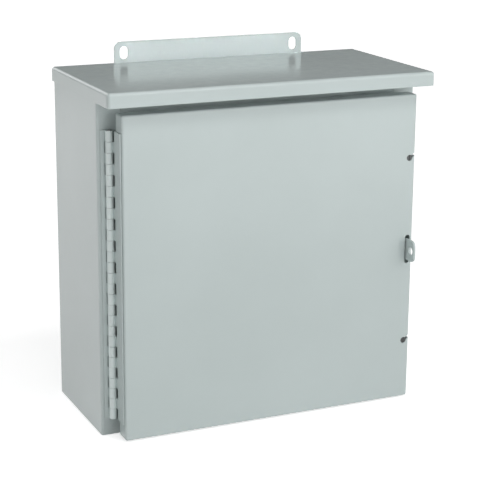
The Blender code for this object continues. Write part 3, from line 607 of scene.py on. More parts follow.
COLLAR_FOLD = 2.0 * MM
WINDOW_NEAR = 11.5 * MM
WINDOW_FAR = 17.0 * MM
CAM_PLAY = 1.5 * MM
lip_y = collar_high.y - SHEET
collar = flat_sheet("rain_collar", (collar_low.x, lip_y, collar_low.z),
                    (collar_high.x, lip_y, collar_high.z))
edit(collar)
pick_all()
bpy.ops.mesh.inset(thickness=COLLAR_LIP)
extrude((0.0, collar_low.y - lip_y, 0.0))
bpy.ops.mesh.delete(type="ONLY_FACE")
close_folds(collar, (0.0, collar_high.y + 1.0, (collar_low.z + collar_high.z) / 2), COLLAR_FOLD, SHEET)
for label in ("upper", "lower"):
    cam_low, cam_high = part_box(label + "_latch_cam")
    cut(collar, block("window", (opening_half - 2 * SHEET, wrap_low.y - WINDOW_FAR,
                                 cam_low.z - CAM_PLAY),
                      (opening_half + SHEET, wrap_low.y - WINDOW_NEAR, cam_high.z + CAM_PLAY)))
soften(collar, 0.0)
stand_for(collar, "opening_collar", paint)

# %% [markdown]
# The mounting bracket is an angle of thicker sheet. Its foot is welded under the shield, and its
# upright leaf has two slots, so that the cabinet can be levelled on its wall bolts. A slot is cut by
# a cylinder pulled long: the upper half of its points moves up and the lower half moves down.

# %% Mounting bracket
BRACKET_SHEET = 2.0 * MM
BRACKET_CORNER = 8.5 * MM
SLOT_WIDTH = 10.5 * MM
SLOT_LENGTH = 16.0 * MM
SLOT_RISE = 12.1 * MM
slot_z = shield_high.z + SLOT_RISE


def slot_tool(x, z, y_start, y_end, width, length):
    """A cylinder along Y, stretched upright into a slot's shape."""
    tool = rod_y("slot_tool", x, z, y_start, y_end, width / 2)
    edit(tool)
    for way in (-1, 1):
        pick(tool, "VERT", lambda vert: (vert.co.z - z) * way > 0)
        bpy.ops.transform.translate(value=(0.0, 0.0, way * (length - width) / 2))
    leave_edit()
    return tool


bracket = flat_sheet("wall_bracket", (bracket_low.x, bracket_high.y, bracket_low.z), bracket_high)
edit(bracket)
pull_flange(bracket, on_plane(Z, bracket_low.z), (0.0, bracket_low.y - bracket_high.y, 0.0))
pick(bracket, "VERT", lambda vert: at(vert.co.z, bracket_high.z))
bpy.ops.mesh.bevel(offset=BRACKET_CORNER, segments=BEND_SEGMENTS, affect="VERTICES")
close_folds(bracket, (0.0, bracket_low.y, bracket_high.z), BODY_BEND, BRACKET_SHEET)
for side in (-1, 1):
    cut(bracket, slot_tool(side * slot_x, slot_z, bracket_high.y - DRILL_REACH,
                           bracket_high.y + DRILL_REACH, SLOT_WIDTH, SLOT_LENGTH))
soften(bracket, 0.3 * MM)
stand_for(bracket, "upper_mounting_bracket", paint)

# %% [markdown]
# ## The door
#
# The door is a shallow pan: one blank with all four edges folded back and the corners welded and
# ground round. Near its free edge it has a long slot for the padlock staple and a keyway for each
# quarter-turn latch, a round seat with a narrow slot rising to the edge.

# %% Door pan
door_low, door_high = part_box("door_pan")
staple_low, staple_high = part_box("padlock_staple")
HASP_PLAY = 4.8 * MM
HASP_LEFT = staple_low.x - 1.7 * MM
HASP_RIGHT = staple_low.x + 4.9 * MM
KEYWAY_WIDTH = 3.6 * MM
KEYWAY_RISE = radians(30.0)
LATCH_HOLE = 3.8 * MM
latches = {label: middle_of(label + "_latch_stem") for label in ("upper", "lower")}

door = flat_sheet("door_skin", (door_low.x, door_low.y, door_low.z),
                  (door_high.x, door_low.y, door_high.z))
edit(door)
pull_flange(door, lambda edge: True, (0.0, door_high.y - door_low.y, 0.0))
close_folds(door, (door_low + door_high) / 2, DOOR_BEND, SHEET)
staple_z = (staple_low.z + staple_high.z) / 2
cut(door, slot_tool((HASP_LEFT + HASP_RIGHT) / 2, staple_z, door_low.y - 3 * MM, door_low.y + 3 * MM,
                    HASP_RIGHT - HASP_LEFT, staple_high.z - staple_low.z + 2 * HASP_PLAY))
for middle in latches.values():
    front = door_low.y - 3 * MM
    back = door_low.y + 7 * MM
    cut(door, rod_y("seat", middle.x, middle.z, front, back, LATCH_HOLE))
    key = block("keyway", (middle.x, front, middle.z - KEYWAY_WIDTH / 2),
                (door_high.x + 4 * MM, back, middle.z + KEYWAY_WIDTH / 2))
    turn_all(key, KEYWAY_RISE, "Y", middle)
    cut(door, key)
soften(door, 0.2 * MM)
stand_for(door, "door_pan", paint)

# %% [markdown]
# ## Staple, hinge and latches
#
# The padlock staple is a stout angle welded to the body. Its leg comes out through the door's slot,
# with a rounded nose and an eye for the shackle.

# %% Padlock staple
STAPLE_SHEET = 2.7 * MM
STAPLE_NOSE = 7.0 * MM
EYE_RADIUS = 4.8 * MM
EYE_EDGE = 8.0 * MM
staple = flat_sheet("hasp_staple", (staple_low.x, staple_high.y, staple_low.z), staple_high)
edit(staple)
pull_flange(staple, on_plane(X, staple_low.x), (0.0, staple_low.y - staple_high.y, 0.0))
pick(staple, "VERT", lambda vert: at(vert.co.y, staple_low.y))
bpy.ops.mesh.bevel(offset=STAPLE_NOSE, segments=BEND_SEGMENTS, affect="VERTICES")
close_folds(staple, (staple_high.x, staple_low.y, staple_z), BODY_BEND, STAPLE_SHEET)
eye_y = staple_low.y + EYE_EDGE
cut(staple, rod("eye", (staple_low.x - 2 * MM, eye_y, staple_z),
                (staple_low.x + 6 * MM, eye_y, staple_z), EYE_RADIUS))
soften(staple, 0.4 * MM)
stand_for(staple, "padlock_staple", paint)

# %% [markdown]
# A continuous hinge runs nearly the whole height of the door. Each leaf is a strip whose tabs are
# rolled round the pin, and the rolled edge stops just short of the leaf, so each knuckle shows a
# seam. The strip is sliced at every knuckle, the tabs are extruded, and one spin rolls them all.
# The coat is painted paler on the knuckles than on the flat of the leaves, a painted highlight where
# the round knuckles catch the light.

# %% Hinge leaves
LEAF_SHEET = 1.5 * MM
LEAF_NOTCH = 0.5 * MM
DOOR_NOTCH = 3.6 * MM
KNUCKLE_PITCH = 12.7 * MM
KNUCKLE_RADIUS = 4.5 * MM
# Colour of the painted highlight on the knuckles.
KNUCKLE_HIGHLIGHT = (0.76, 0.84, 0.83)
ROLL_STEPS = 26
ROLL_ANGLE = radians(335.0)
leaf_low, leaf_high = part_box("hinge_body_leaf")
door_leaf_low, door_leaf_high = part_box("hinge_door_leaf")
hinge_axis = Vector((leaf_high.x - KNUCKLE_RADIUS, leaf_high.y - KNUCKLE_RADIUS, 0.0))
hinge_low = leaf_low.z - GAP / 2
knuckle_count = round((leaf_high.z - leaf_low.z + GAP) / KNUCKLE_PITCH)


def rolled_leaf(name, low, high, parity, push, facing, turn):
    """A strip between two corners, its own tabs pushed out and rolled round the hinge axis."""
    leaf = block(name, low, high)
    edit(leaf)
    own = []
    for index in range(parity, knuckle_count, 2):
        bottom = hinge_low + index * KNUCKLE_PITCH + GAP / 2
        top = bottom + KNUCKLE_PITCH - GAP
        own.append((bottom + top) / 2)
        for height in (bottom, top):
            if low[2] + NEAR < height < high[2] - NEAR:
                slice_at(height)
    facing = Vector(facing)
    pick(leaf, "FACE", lambda face: face.normal.dot(facing) > 0.9
         and any(abs(face.calc_center_median().z - middle) < 1 * MM for middle in own))
    extrude(push)
    bpy.ops.mesh.spin(steps=ROLL_STEPS, angle=turn, center=hinge_axis, axis=(0.0, 0.0, 1.0))
    pick_all()
    bpy.ops.mesh.remove_doubles(threshold=0.01 * MM)
    bpy.ops.mesh.normals_make_consistent(inside=False)
    leave_edit()
    soften(leaf, 0.2 * MM, 35.0)
    return leaf


hinge_highlit_coat = powder_coat("hinge_coat_painted_highlight")
# Painted highlight: the knuckles are coloured paler than the leaves, in place of the light that they
# catch.
paint_highlight_round(hinge_highlit_coat, KNUCKLE_HIGHLIGHT, hinge_axis, KNUCKLE_RADIUS + 0.1 * MM)
body_notch = hinge_axis.x - KNUCKLE_RADIUS - LEAF_NOTCH
body_leaf = rolled_leaf("body_leaf", (leaf_low.x, leaf_high.y - LEAF_SHEET, leaf_low.z),
                        (body_notch, leaf_high.y, leaf_high.z), 0,
                        (hinge_axis.x - body_notch, 0.0, 0.0), (1.0, 0.0, 0.0), ROLL_ANGLE)
stand_for(body_leaf, "hinge_body_leaf", hinge_highlit_coat)
door_notch = hinge_axis.y - KNUCKLE_RADIUS - DOOR_NOTCH
door_leaf = rolled_leaf("door_leaf",
                        (door_leaf_high.x - LEAF_SHEET, door_leaf_low.y, door_leaf_low.z),
                        (door_leaf_high.x, door_notch, door_leaf_high.z), 1,
                        (0.0, hinge_axis.y - door_notch, 0.0), (0.0, 1.0, 0.0), -ROLL_ANGLE)
stand_for(door_leaf, "hinge_door_leaf", hinge_highlit_coat)

# %% [markdown]
# The pin is a plain drawn wire, cropped and slightly domed at its ends so that it stays in place.

# %% Hinge pin
PIN_RADIUS = 2.5 * MM
pin_low, pin_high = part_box("hinge_pin")
pin = rod("hinge_wire", (hinge_axis.x, hinge_axis.y, pin_low.z),
          (hinge_axis.x, hinge_axis.y, pin_high.z), PIN_RADIUS, 40)
soften(pin, 0.7 * MM, 40.0, 4)
stand_for(pin, "hinge_pin", steel)

# %% [markdown]
# Each latch is a slotted quarter-turn stem. Its head lies just under the door's face, a shoulder
# behind the sheet stops it, and a cam with round ends hangs on its shank behind a spring clip. The
# upper and lower latches are alike, so one is made and copied.

# %% Latches
LATCH_HEAD = 3.4 * MM
LATCH_SHOULDER = 5.0 * MM
SHOULDER_DEPTH = 1.6 * MM
LATCH_SHANK = 2.8 * MM
DRIVER_SLOT = 1.2 * MM
DRIVER_DEPTH = 1 * MM
CAM_WIDTH = 8.0 * MM
CLIP_RADIUS = 5.0 * MM
CLIP_MOUTH = 3.0 * MM
low_stem, high_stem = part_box("lower_latch_stem")
low_cam, high_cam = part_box("lower_latch_cam")
low_clip, high_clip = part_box("lower_latch_clip")
latch = latches["lower"]
head_depth = door_low.y + SHEET + GAP - low_stem.y
shank_depth = high_stem.y - low_stem.y - head_depth - SHOULDER_DEPTH

stem = turned("lower_stem", (latch.x, low_stem.y, latch.z), (0.0, 1.0, 0.0),
              [(LATCH_HEAD, head_depth), (LATCH_SHOULDER, SHOULDER_DEPTH), (LATCH_SHANK, shank_depth)])
cut(stem, block("driver_slot", (latch.x - DRIVER_SLOT / 2, low_stem.y - OVER,
                                latch.z - LATCH_SHOULDER),
                (latch.x + DRIVER_SLOT / 2, low_stem.y + DRIVER_DEPTH, latch.z + LATCH_SHOULDER)))
soften(stem, 0.3 * MM, 40.0, 3)

cam = slot_tool(latch.x, (low_cam.z + high_cam.z) / 2, low_cam.y, high_cam.y, CAM_WIDTH,
                high_cam.z - low_cam.z)
cut(cam, rod_y("bore", latch.x, latch.z, low_cam.y - OVER, high_cam.y + OVER, LATCH_SHANK + GAP))
soften(cam, 0.3 * MM, 40.0)

clip = rod_y("spring_clip", latch.x, latch.z, low_clip.y, high_clip.y, CLIP_RADIUS)
cut(clip, rod_y("bore", latch.x, latch.z, low_clip.y - OVER, high_clip.y + OVER, LATCH_SHANK + GAP))
cut(clip, block("mouth", (latch.x - CLIP_MOUTH / 2, low_clip.y - OVER, latch.z - 2 * CLIP_RADIUS),
                (latch.x + CLIP_MOUTH / 2, high_clip.y + OVER, latch.z)))
soften(clip, 0.2 * MM, 40.0)

lift = latches["upper"] - latches["lower"]
for kind, obj, finish in (("stem", stem, black_oxide), ("cam", cam, zinc), ("clip", clip, steel)):
    other = copied(obj, "upper_latch_" + kind + "_part", lift)
    obj.name = "lower_latch_" + kind + "_part"
    stand_for(obj, "lower_latch_" + kind, finish)
    stand_for(other, "upper_latch_" + kind, finish)

# %% [markdown]
# ## Inside the cabinet
#
# The equipment panel is a flat sheet with rounded corners, held off the back by four weld studs. A
# stud is turned, and its thread is cut as fine rings, which read the same as a helix at this size.
# A nut is a six-sided bar, chamfered by keeping only what lies inside a round, bevelled blank.

# %% Equipment panel
PANEL_CORNER = 5.0 * MM
PANEL_HOLE = 3.6 * MM
SCREW_HOLE = 2.5 * MM
SCREW_FROM_END = 10.0 * MM
STUD_RADIUS = 3.0 * MM
panel_low, panel_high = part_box("mounting_panel")
rail_low, rail_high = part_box("din_rail")
rail_z = (rail_low.z + rail_high.z) / 2
rail_screw_x = rail_high.x - SCREW_FROM_END
ground_low, ground_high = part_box("ground_stud")
ground = middle_of("ground_stud")

panel = block("equipment_panel", panel_low, panel_high)
edit(panel)
pick(panel, "EDGE", lambda edge: all(at(abs(v.co.x), panel_high.x) for v in edge.verts)
     and at(edge.verts[0].co.z, edge.verts[1].co.z)
     and not at(edge.verts[0].co.y, edge.verts[1].co.y))
bpy.ops.mesh.bevel(offset=PANEL_CORNER, segments=BEND_SEGMENTS, affect="EDGES")
leave_edit()
studs = {place: middle_of("panel_stud_" + place)
         for place in ("lower_left", "lower_right", "upper_left", "upper_right")}
drills = [(middle.x, middle.z, PANEL_HOLE) for middle in studs.values()]
drills += [(side * rail_screw_x, rail_z, SCREW_HOLE) for side in (-1, 1)]
drills.append((ground.x, ground.z, STUD_RADIUS + GAP))
for x, z, radius in drills:
    cut(panel, rod_y("drill", x, z, panel_low.y - OVER, panel_high.y + OVER, radius))
soften(panel, 0.3 * MM)
stand_for(panel, "mounting_panel", enamel)

# %% Studs and nuts
THREAD_PITCH = 1.0 * MM
THREAD_DEPTH = 0.35 * MM
THREAD_LENGTH = 12.0 * MM
STUD_COLLAR = 6.0 * MM
NUT_HEIGHT = 5.0 * MM
NUT_FLATS = 10.0 * MM
NUT_CORNER = NUT_FLATS / 2 / cos(pi / 6)
NUT_CHAMFER = 0.7 * MM
FINE_EDGE = 0.12 * MM


def thread(length):
    """Turning steps for fine rings as deep as a thread."""
    rings = int(length / THREAD_PITCH)
    crest = (STUD_RADIUS, THREAD_PITCH / 2)
    root = (STUD_RADIUS - THREAD_DEPTH, THREAD_PITCH / 2)
    return [crest, root] * rings


def hex_nut(name, x, back_y, z):
    front_y = back_y - NUT_HEIGHT
    nut = rod_y(name, x, z, back_y, front_y, NUT_CORNER, 6)
    turn_all(nut, pi / 6, "Y", (x, back_y, z))
    blank = rod_y("blank", x, z, back_y, front_y, NUT_CORNER - 0.02 * MM, 48)
    apply_modifier(blank, "BEVEL", width=NUT_CHAMFER, segments=1, limit_method="ANGLE",
                   angle_limit=SHARP_ANGLE)
    combine(nut, blank, "INTERSECT")
    cut(nut, rod_y("bore", x, z, back_y + OVER, front_y - OVER, STUD_RADIUS + GAP))
    soften(nut, FINE_EDGE)
    return nut


first = studs["lower_left"]
stud_low, stud_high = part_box("panel_stud_lower_left")
nut_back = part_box("panel_nut_lower_left")[1].y
standoff = stud_high.y - stud_low.y - THREAD_LENGTH
weld_stud = turned("weld_stud", (first.x, stud_high.y, first.z), (0.0, -1.0, 0.0),
                   [(STUD_COLLAR, standoff)] + thread(THREAD_LENGTH))
soften(weld_stud, FINE_EDGE, 40.0, 1)
panel_nut = hex_nut("panel_nut", first.x, nut_back, first.z)
for label, middle in studs.items():
    move = middle - first
    stand_for(copied(weld_stud, "stud_" + label, move), "panel_stud_" + label, zinc)
    stand_for(copied(panel_nut, "nut_" + label, move), "panel_nut_" + label, zinc)
bond_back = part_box("ground_nut")[1].y
bond_nut = copied(panel_nut, "bonding_nut", (ground.x - first.x, bond_back - nut_back,
                                             ground.z - first.z))
stand_for(bond_nut, "ground_nut", zinc)
for spare in (weld_stud, panel_nut):
    discard(spare)
bond_head = 3.0 * MM
bond_shank = ground_high.y - ground_low.y - bond_head - THREAD_LENGTH
bond_stud = turned("bonding_stud", (ground.x, ground_high.y, ground.z), (0.0, -1.0, 0.0),
                   [(STUD_COLLAR, bond_head), (STUD_RADIUS, bond_shank)] + thread(THREAD_LENGTH))
soften(bond_stud, FINE_EDGE, 40.0, 1)
stand_for(bond_stud, "ground_stud", zinc)

# %% [markdown]
# The devices snap onto a top-hat rail, rolled from thin strip and punched with long holes so that a
# screw can find the panel anywhere along it.

# %% Rail and its screws
RAIL_SHEET = 1.0 * MM
RAIL_BASE = 12.5 * MM
RAIL_FOLD = 1.2 * MM
PUNCH_PITCH = 25.0 * MM
PUNCH_LENGTH = 15.0 * MM
PUNCH_WIDTH = 5.2 * MM
PUNCH_STEPS = range(-4, 5)

rail = flat_sheet("top_hat_rail", (rail_low.x, rail_high.y, rail_z - RAIL_BASE),
                  (rail_high.x, rail_high.y, rail_z + RAIL_BASE))
edit(rail)
for way in (-1, 1):
    at_web = on_plane(Z, rail_z + way * RAIL_BASE)
    pull_flange(rail, at_web, (0.0, rail_low.y + RAIL_SHEET - rail_high.y, 0.0))
    pull_flange(rail, lambda edge: at_web(edge) and on_plane(Y, rail_low.y + RAIL_SHEET)(edge),
                (0.0, 0.0, way * (rail_high.z - rail_z - RAIL_BASE)))
close_folds(rail, (0.0, rail_low.y - 0.1, rail_z), RAIL_FOLD, RAIL_SHEET)
for step in PUNCH_STEPS:
    punch = slot_tool(step * PUNCH_PITCH, rail_z, rail_low.y - OVER, rail_high.y + OVER,
                      PUNCH_WIDTH, PUNCH_LENGTH)
    turn_all(punch, pi / 2, "Y", (step * PUNCH_PITCH, rail_high.y, rail_z))
    cut(rail, punch)
for side in (-1, 1):
    cut(rail, rod_y("drill", side * rail_screw_x, rail_z, rail_low.y, rail_high.y + OVER, SCREW_HOLE))
soften(rail, FINE_EDGE)
stand_for(rail, "din_rail", drawn_zinc)

SCREW_HEAD = 4.2 * MM
SCREW_SHANK = 2.0 * MM
DRIVER_CROSS = 0.9 * MM
CROSS_REACH = 2.6 * MM
CROSS_DEPTH = 1.4 * MM
HEAD_HEIGHT = 2.6 * MM
screw_low, screw_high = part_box("rail_screw_left")
screw = turned("rail_screw", (-rail_screw_x, screw_low.y, rail_z), (0.0, 1.0, 0.0),
               [(SCREW_HEAD, HEAD_HEIGHT), (SCREW_SHANK, screw_high.y - screw_low.y - HEAD_HEIGHT)])
for wide, tall in ((CROSS_REACH, DRIVER_CROSS / 2), (DRIVER_CROSS / 2, CROSS_REACH)):
    cut(screw, block("cross", (-rail_screw_x - wide, screw_low.y - OVER, rail_z - tall),
                     (-rail_screw_x + wide, screw_low.y + CROSS_DEPTH, rail_z + tall)))
soften(screw, 0.5 * MM, 40.0, 3)
stand_for(copied(screw, "screw_right", (2 * rail_screw_x, 0.0, 0.0)), "rail_screw_right", zinc)
screw.name = "screw_left"
stand_for(screw, "rail_screw_left", zinc)

# %% [markdown]
# The main switch and the five breakers share one shape: a moulded case with a raised nose, a curved
# pocket for the lever, and at both ends a well with a terminal screw above a wire entry. The width
# is the only difference, so one function makes them all, one pole for each 18 mm of width.

# %% Device cases
MODULE = 18.0 * MM
CASE_BACK = 4.0 * MM
CASE_SHOULDER = 50.0 * MM
CASE_NOSE = 67.0 * MM
CASE_HALF = 42.0 * MM
NOSE_HALF = 22.5 * MM
NOSE_SLOPE = 3.0 * MM
SEAT_HALF = 18.0 * MM
SEAT_DEPTH = 8.3 * MM
PIVOT_DEPTH = 57.5 * MM
POCKET_RADIUS = 8.6 * MM
POCKET_SIDE = 0.4 * MM
WELL_RISE = 34.0 * MM
WELL_RADIUS = 3.9 * MM
WELL_DEPTH = 6.0 * MM
ENTRY_WIDTH = 9.0 * MM
ENTRY_DEPTH = 8.0 * MM
ENTRY_REACH = 4 * MM
ENTRY_AT = 26.0 * MM


def off_panel(distance):
    """Y of a plane this far in front of the equipment panel."""
    return panel_low.y - distance


def pole_places(node):
    """X of the middle of each pole of a device."""
    low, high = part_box(node)
    poles = round((high.x - low.x) / MODULE)
    return [low.x + (high.x - low.x) * (pole + 0.5) / poles for pole in range(poles)]


def rail_seat(low, high):
    """The room that a rail needs in a device's back, a little wider than the device."""
    return block("seat", (low.x - OVER, off_panel(SEAT_DEPTH), rail_z - SEAT_HALF),
                 (high.x + OVER, off_panel(0.0), rail_z + SEAT_HALF))


def device_case(name, node, lever_node):
    low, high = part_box(node)
    lever_low, lever_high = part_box(lever_node)
    case = block(name, (low.x, off_panel(CASE_SHOULDER), rail_z - CASE_HALF),
                 (high.x, off_panel(CASE_BACK), rail_z + CASE_HALF))
    edit(case)
    for way in (-1, 1):
        slice_at(rail_z + way * (NOSE_HALF + NOSE_SLOPE))
    pick(case, "FACE", lambda face: face.normal.y < -0.9
         and abs(face.calc_center_median().z - rail_z) < 1 * MM)
    extrude((0.0, CASE_SHOULDER - CASE_NOSE, 0.0))
    bpy.ops.transform.resize(value=(1.0, 1.0, NOSE_HALF / (NOSE_HALF + NOSE_SLOPE)),
                             center_override=(0.0, off_panel(CASE_NOSE), rail_z))
    leave_edit()
    cut(case, rail_seat(low, high))
    pivot_y = off_panel(PIVOT_DEPTH)
    left, right = lever_low.x - POCKET_SIDE, lever_high.x + POCKET_SIDE
    pocket = rod("pocket", (left, pivot_y, rail_z), (right, pivot_y, rail_z), POCKET_RADIUS, 48)
    mouth = block("mouth", (left, off_panel(CASE_NOSE + 2 * MM), rail_z - POCKET_RADIUS),
                  (right, pivot_y, rail_z + POCKET_RADIUS))
    combine(pocket, mouth, "UNION")
    cut(case, pocket)
    for x in pole_places(node):
        for way in (-1, 1):
            front = off_panel(CASE_SHOULDER)
            cut(case, rod_y("well", x, rail_z + way * WELL_RISE, front - OVER, front + WELL_DEPTH,
                            WELL_RADIUS))
            near, far = sorted((rail_z + way * (CASE_HALF - ENTRY_REACH),
                                rail_z + way * (CASE_HALF + OVER)))
            cut(case, block("entry", (x - ENTRY_WIDTH / 2, off_panel(ENTRY_AT + ENTRY_DEPTH), near),
                            (x + ENTRY_WIDTH / 2, off_panel(ENTRY_AT), far)))
    soften(case, 0.5 * MM)
    return case


main_case = device_case("main_switch_body", "main_switch_case", "main_switch_toggle")
stand_for(main_case, "main_switch_case", case_grey)
breaker_case = device_case("breaker_1_body", "breaker_1_case", "breaker_1_toggle")
breakers = ["breaker_%d" % number for number in range(1, 6)]
for step, device in enumerate(breakers[1:], 1):
    stand_for(copied(breaker_case, device + "_body", (step * MODULE, 0.0, 0.0)), device + "_case",
              case_grey)
stand_for(breaker_case, "breaker_1_case", case_grey)

# %% Terminal screws
TERMINAL_HEAD = 3.3 * MM
TERMINAL_HEIGHT = 2.2 * MM
TERMINAL_SLOT = 0.5 * MM
clamp_y = off_panel(CASE_SHOULDER) + WELL_DEPTH
clamp = rod_y("clamp_screw", 0.0, rail_z, clamp_y, clamp_y - TERMINAL_HEIGHT, TERMINAL_HEAD, 24)
cut(clamp, block("driver", (-TERMINAL_SLOT, clamp_y - 4 * MM, rail_z - 2 * TERMINAL_HEAD),
                 (TERMINAL_SLOT, clamp_y - 1.2 * MM, rail_z + 2 * TERMINAL_HEAD)))
soften(clamp, 0.25 * MM, 40.0)
clamps = [copied(clamp, "clamp", (x, 0.0, way * WELL_RISE))
          for device in ["main_switch"] + breakers
          for x in pole_places(device + "_case") for way in (-1, 1)]
discard(clamp)
attach(joined("device_terminal_screws", clamps), "cabinet", zinc)

# %% [markdown]
# A lever is a round hub that turns in the pocket, with a flat finger tab. It leans down when the
# device is off. Its sharp edges are broken by a wide soft bevel, as on any part a finger presses.

# %% Levers
HUB_RADIUS = 8.0 * MM
TAB_REACH = 20.0 * MM
TAB_HALF = 1.7 * MM
TAB_OFF = radians(30.0)


def lever(name, node):
    low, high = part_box(node)
    centre = Vector(((low.x + high.x) / 2, off_panel(PIVOT_DEPTH), rail_z))
    hub = rod(name, (low.x, centre.y, centre.z), (high.x, centre.y, centre.z), HUB_RADIUS, 48)
    tab = block("tab", (low.x, centre.y - TAB_REACH, centre.z - TAB_HALF),
                (high.x, centre.y, centre.z + TAB_HALF))
    turn_all(tab, -TAB_OFF, "X", centre)
    combine(hub, tab, "UNION")
    soften(hub, 0.6 * MM, 40.0, 3)
    return hub


stand_for(lever("main_switch_lever", "main_switch_toggle"), "main_switch_toggle", lever_black)
breaker_lever = lever("breaker_1_lever", "breaker_1_toggle")
for step, device in enumerate(breakers[1:], 1):
    stand_for(copied(breaker_lever, device + "_lever", (step * MODULE, 0.0, 0.0)),
              device + "_toggle", lever_black)
stand_for(breaker_lever, "breaker_1_toggle", lever_black)

# %% [markdown]
# An end stop clamps the row at each end of the rail. Two brass bars take the neutral and the earth
# wires: a wire enters a hole from below and a screw from the front clamps it. The neutral bar
# stands on blue insulating feet, and the earth bar on plain metal ones.

# %% End stops
STOP_STEP = 6.0 * MM
STOP_TAPER = 0.6
STOP_WELL_RADIUS = 3.0 * MM
STOP_WELL_DEPTH = 4 * MM
for side in ("left", "right"):
    low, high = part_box("rail_stop_" + side)
    middle = (low + high) / 2
    stop = block("end_stop_" + side, (low.x, low.y + STOP_STEP, low.z), (high.x, high.y, high.z))
    edit(stop)
    pick(stop, "FACE", lambda face: face.normal.y < -0.9)
    extrude((0.0, -STOP_STEP, 0.0))
    bpy.ops.transform.resize(value=(1.0, 1.0, STOP_TAPER),
                             center_override=(middle.x, low.y, middle.z))
    leave_edit()
    cut(stop, rail_seat(low, high))
    cut(stop, rod_y("well", middle.x, middle.z, low.y - OVER, low.y + STOP_WELL_DEPTH,
                    STOP_WELL_RADIUS))
    soften(stop, 0.5 * MM)
    stand_for(stop, "rail_stop_" + side, case_grey)

# %% Terminal bars
BAR_PITCH = 12.0 * MM
BAR_HOLE = 2.3 * MM
BAR_SCREW = 2.6 * MM
BAR_STEPS = range(-4, 5)
BAR_SLOT = 0.4 * MM
FOOT_RIM = 1.5 * MM
FOOT_DISH = 0.4 * MM
for label, foot_finish in (("neutral", insulator_blue), ("earth", zinc)):
    low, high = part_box(label + "_bar")
    middle = (low + high) / 2
    bar = block(label + "_strip", low, high)
    head = rod_y("head", middle.x, middle.z, low.y + 1.8 * MM, low.y - 0.6 * MM, BAR_SCREW, 24)
    cut(head, block("driver", (middle.x - BAR_SLOT, low.y - OVER, middle.z - 4 * MM),
                    (middle.x + BAR_SLOT, low.y + 0.5 * MM, middle.z + 4 * MM)))
    soften(head, 0.2 * MM, 40.0)
    heads = [copied(head, "head", (step * BAR_PITCH, 0.0, 0.0)) for step in BAR_STEPS]
    discard(head)
    for step in BAR_STEPS:
        x = middle.x + step * BAR_PITCH
        cut(bar, rod("wire_hole", (x, middle.y, low.z - OVER), (x, middle.y, high.z + OVER), BAR_HOLE))
        cut(bar, rod_y("screw_hole", x, middle.z, low.y - OVER, middle.y, BAR_SCREW + 0.1 * MM))
    soften(bar, 0.3 * MM)
    stand_for(bar, label + "_bar", brass)
    attach(joined(label + "_bar_screws", heads), "cabinet", zinc)
    for side in ("left", "right"):
        node = "%s_support_%s" % (label, side)
        low_foot, high_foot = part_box(node)
        foot = block(label + "_foot_" + side, low_foot, high_foot)
        edit(foot)
        pick(foot, "FACE", lambda face: face.normal.y < -0.9)
        bpy.ops.mesh.inset(thickness=FOOT_RIM)
        bpy.ops.transform.translate(value=(0.0, FOOT_DISH, 0.0))
        leave_edit()
        soften(foot, 0.8 * MM, 40.0, 3)
        stand_for(foot, node, foot_finish)

# %% [markdown]
# ## Stage, light and camera
#
# The object stands on a wide white floor. Diffuse light sees an ordinary matt floor, so it bounces
# light up onto the door and catches the shadow. The camera, gloss and glass see the same floor with
# some white added, more with distance, which keeps the background pale without more light on the
# object. Around it is a dome, quiet grey to the object and white to the camera, and soft panels: a
# large key from the right of the front, a broad fill on the left, weak ones at the side and the
# rear, one overhead, and two narrow ones for the bracket and the top.

# %% Floor
FLOOR_HALF = 60.0
GLOW_NEAR = 0.62
GLOW_FAR = 0.93
GLOW_START = 0.5
GLOW_END = 3.0
clear_selection()
bpy.ops.mesh.primitive_plane_add(size=2 * FLOOR_HALF, location=(0.0, 0.0, -0.2 * MM))
floor = settle("floor")
floor_finish, floor_shader = new_finish("floor_white", (0.90, 0.90, 0.90), 0.9)
rays = outputs_of(floor_finish, "LightPath", {})
away = distance_from(floor_finish, (0.0, 0.0, 0.0), EVEN)
rise = span(floor_finish, away, GLOW_NEAR, GLOW_FAR, GLOW_START, GLOW_END)
seen = reckon(floor_finish, "MAXIMUM", rays["Is Camera Ray"], rays["Is Glossy Ray"])
seen = reckon(floor_finish, "MAXIMUM", seen, rays["Is Transmission Ray"])
drive(floor_finish, floor_shader, "Emission Strength", reckon(floor_finish, "MULTIPLY", seen, rise))
floor_shader.inputs["Emission Color"].default_value = (1.0, 1.0, 1.0, 1.0)
floor_shader.inputs["Specular IOR Level"].default_value = 0.0
floor.data.materials.append(floor_finish)

# %% Dome
DOME_LOW = (0.14, 0.14, 0.14)
DOME_HIGH = (0.16, 0.16, 0.16)
DOME_SEEN = (1.0, 1.0, 1.0)
world = bpy.data.worlds.new("studio")
bpy.context.scene.world = world
world.use_nodes = True
background = world.node_tree.nodes["Background"]
direction = outputs_of(world, "TexCoord", {})["Generated"]
height = outputs_of(world, "SeparateXYZ", {"Vector": direction})["Z"]
dome = tint(world, height, DOME_LOW, DOME_HIGH)
seen = outputs_of(world, "LightPath", {})["Is Camera Ray"]
drive(world, background, "Color", tint(world, seen, dome, DOME_SEEN))

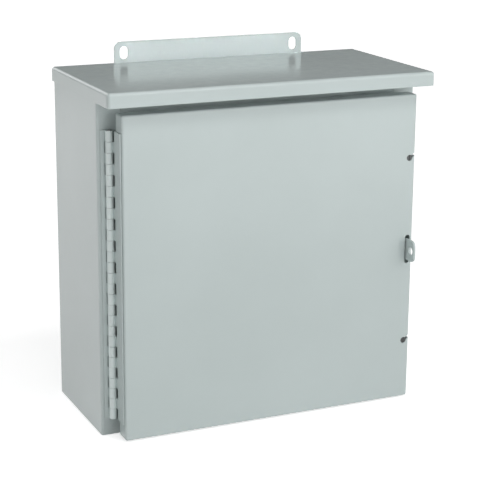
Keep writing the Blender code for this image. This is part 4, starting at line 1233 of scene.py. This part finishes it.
# %% Soft panels
AIM = Vector((0.0, -0.05, 0.22))
SHIELD_BACK = Vector((0.0, 0.1, 0.48))
BRACKET_TOP = Vector((0.0, 0.1, 0.55))


def softbox(name, azimuth, elevation, distance, width, height, level, aim=AIM, spread=180.0):
    """A soft panel, azimuth measured from the front towards the right.
    Its level is the share of full light that it gives a surface turned to it."""
    a, e = radians(azimuth), radians(elevation)
    back = Vector((sin(a) * cos(e), -cos(a) * cos(e), sin(e)))
    clear_selection()
    bpy.ops.object.light_add(type="AREA", location=aim + back * distance,
                             rotation=back.to_track_quat("Z", "Y").to_euler())
    lamp = bpy.context.object
    lamp.name = name
    lamp.data.shape = "RECTANGLE"
    lamp.data.size = width
    lamp.data.size_y = height
    lamp.data.energy = level * pi * pi * distance ** 2
    lamp.data.spread = radians(spread)
    lamp.visible_camera = False
    print("%-14s %5.2f W" % (name, lamp.data.energy))


softbox("key", 42.0, 22.0, 2.2, 2.0, 1.5, 0.48)
softbox("fill", -52.0, 14.0, 2.4, 1.8, 1.3, 0.21)
softbox("side", -122.0, 34.0, 1.8, 1.2, 1.0, 0.06)
softbox("rear", 198.0, 22.0, 2.3, 1.2, 1.1, 0.14)
softbox("overhead", 5.0, 66.0, 1.8, 1.2, 0.35, 0.29)
softbox("accent", 12.0, 9.0, 1.6, 0.9, 0.5, 0.006, SHIELD_BACK, 30.0)
softbox("bracket_light", 8.0, 9.0, 1.6, 0.5, 0.1, 0.014, BRACKET_TOP, 10.0)

# %% Camera
EYE = Vector((-0.731, -1.614, 0.696))
YAW = radians(24.35)
PITCH = radians(-14.54)
ROLL = radians(0.42)
FOCAL = 111.5
SENSOR = 36.0
SHIFT = -0.06
clear_selection()
bpy.ops.object.camera_add(location=EYE)
camera = bpy.context.object
camera.name = "camera"
look = Matrix.Rotation(-YAW, 3, "Z") @ Matrix.Rotation(pi / 2 + PITCH, 3, "X")
camera.rotation_euler = (look @ Matrix.Rotation(ROLL, 3, "Z")).to_euler()
camera.data.lens = FOCAL
camera.data.sensor_width = SENSOR
camera.data.shift_y = SHIFT
bpy.context.scene.camera = camera
bpy.context.scene.view_settings.view_transform = "Standard"
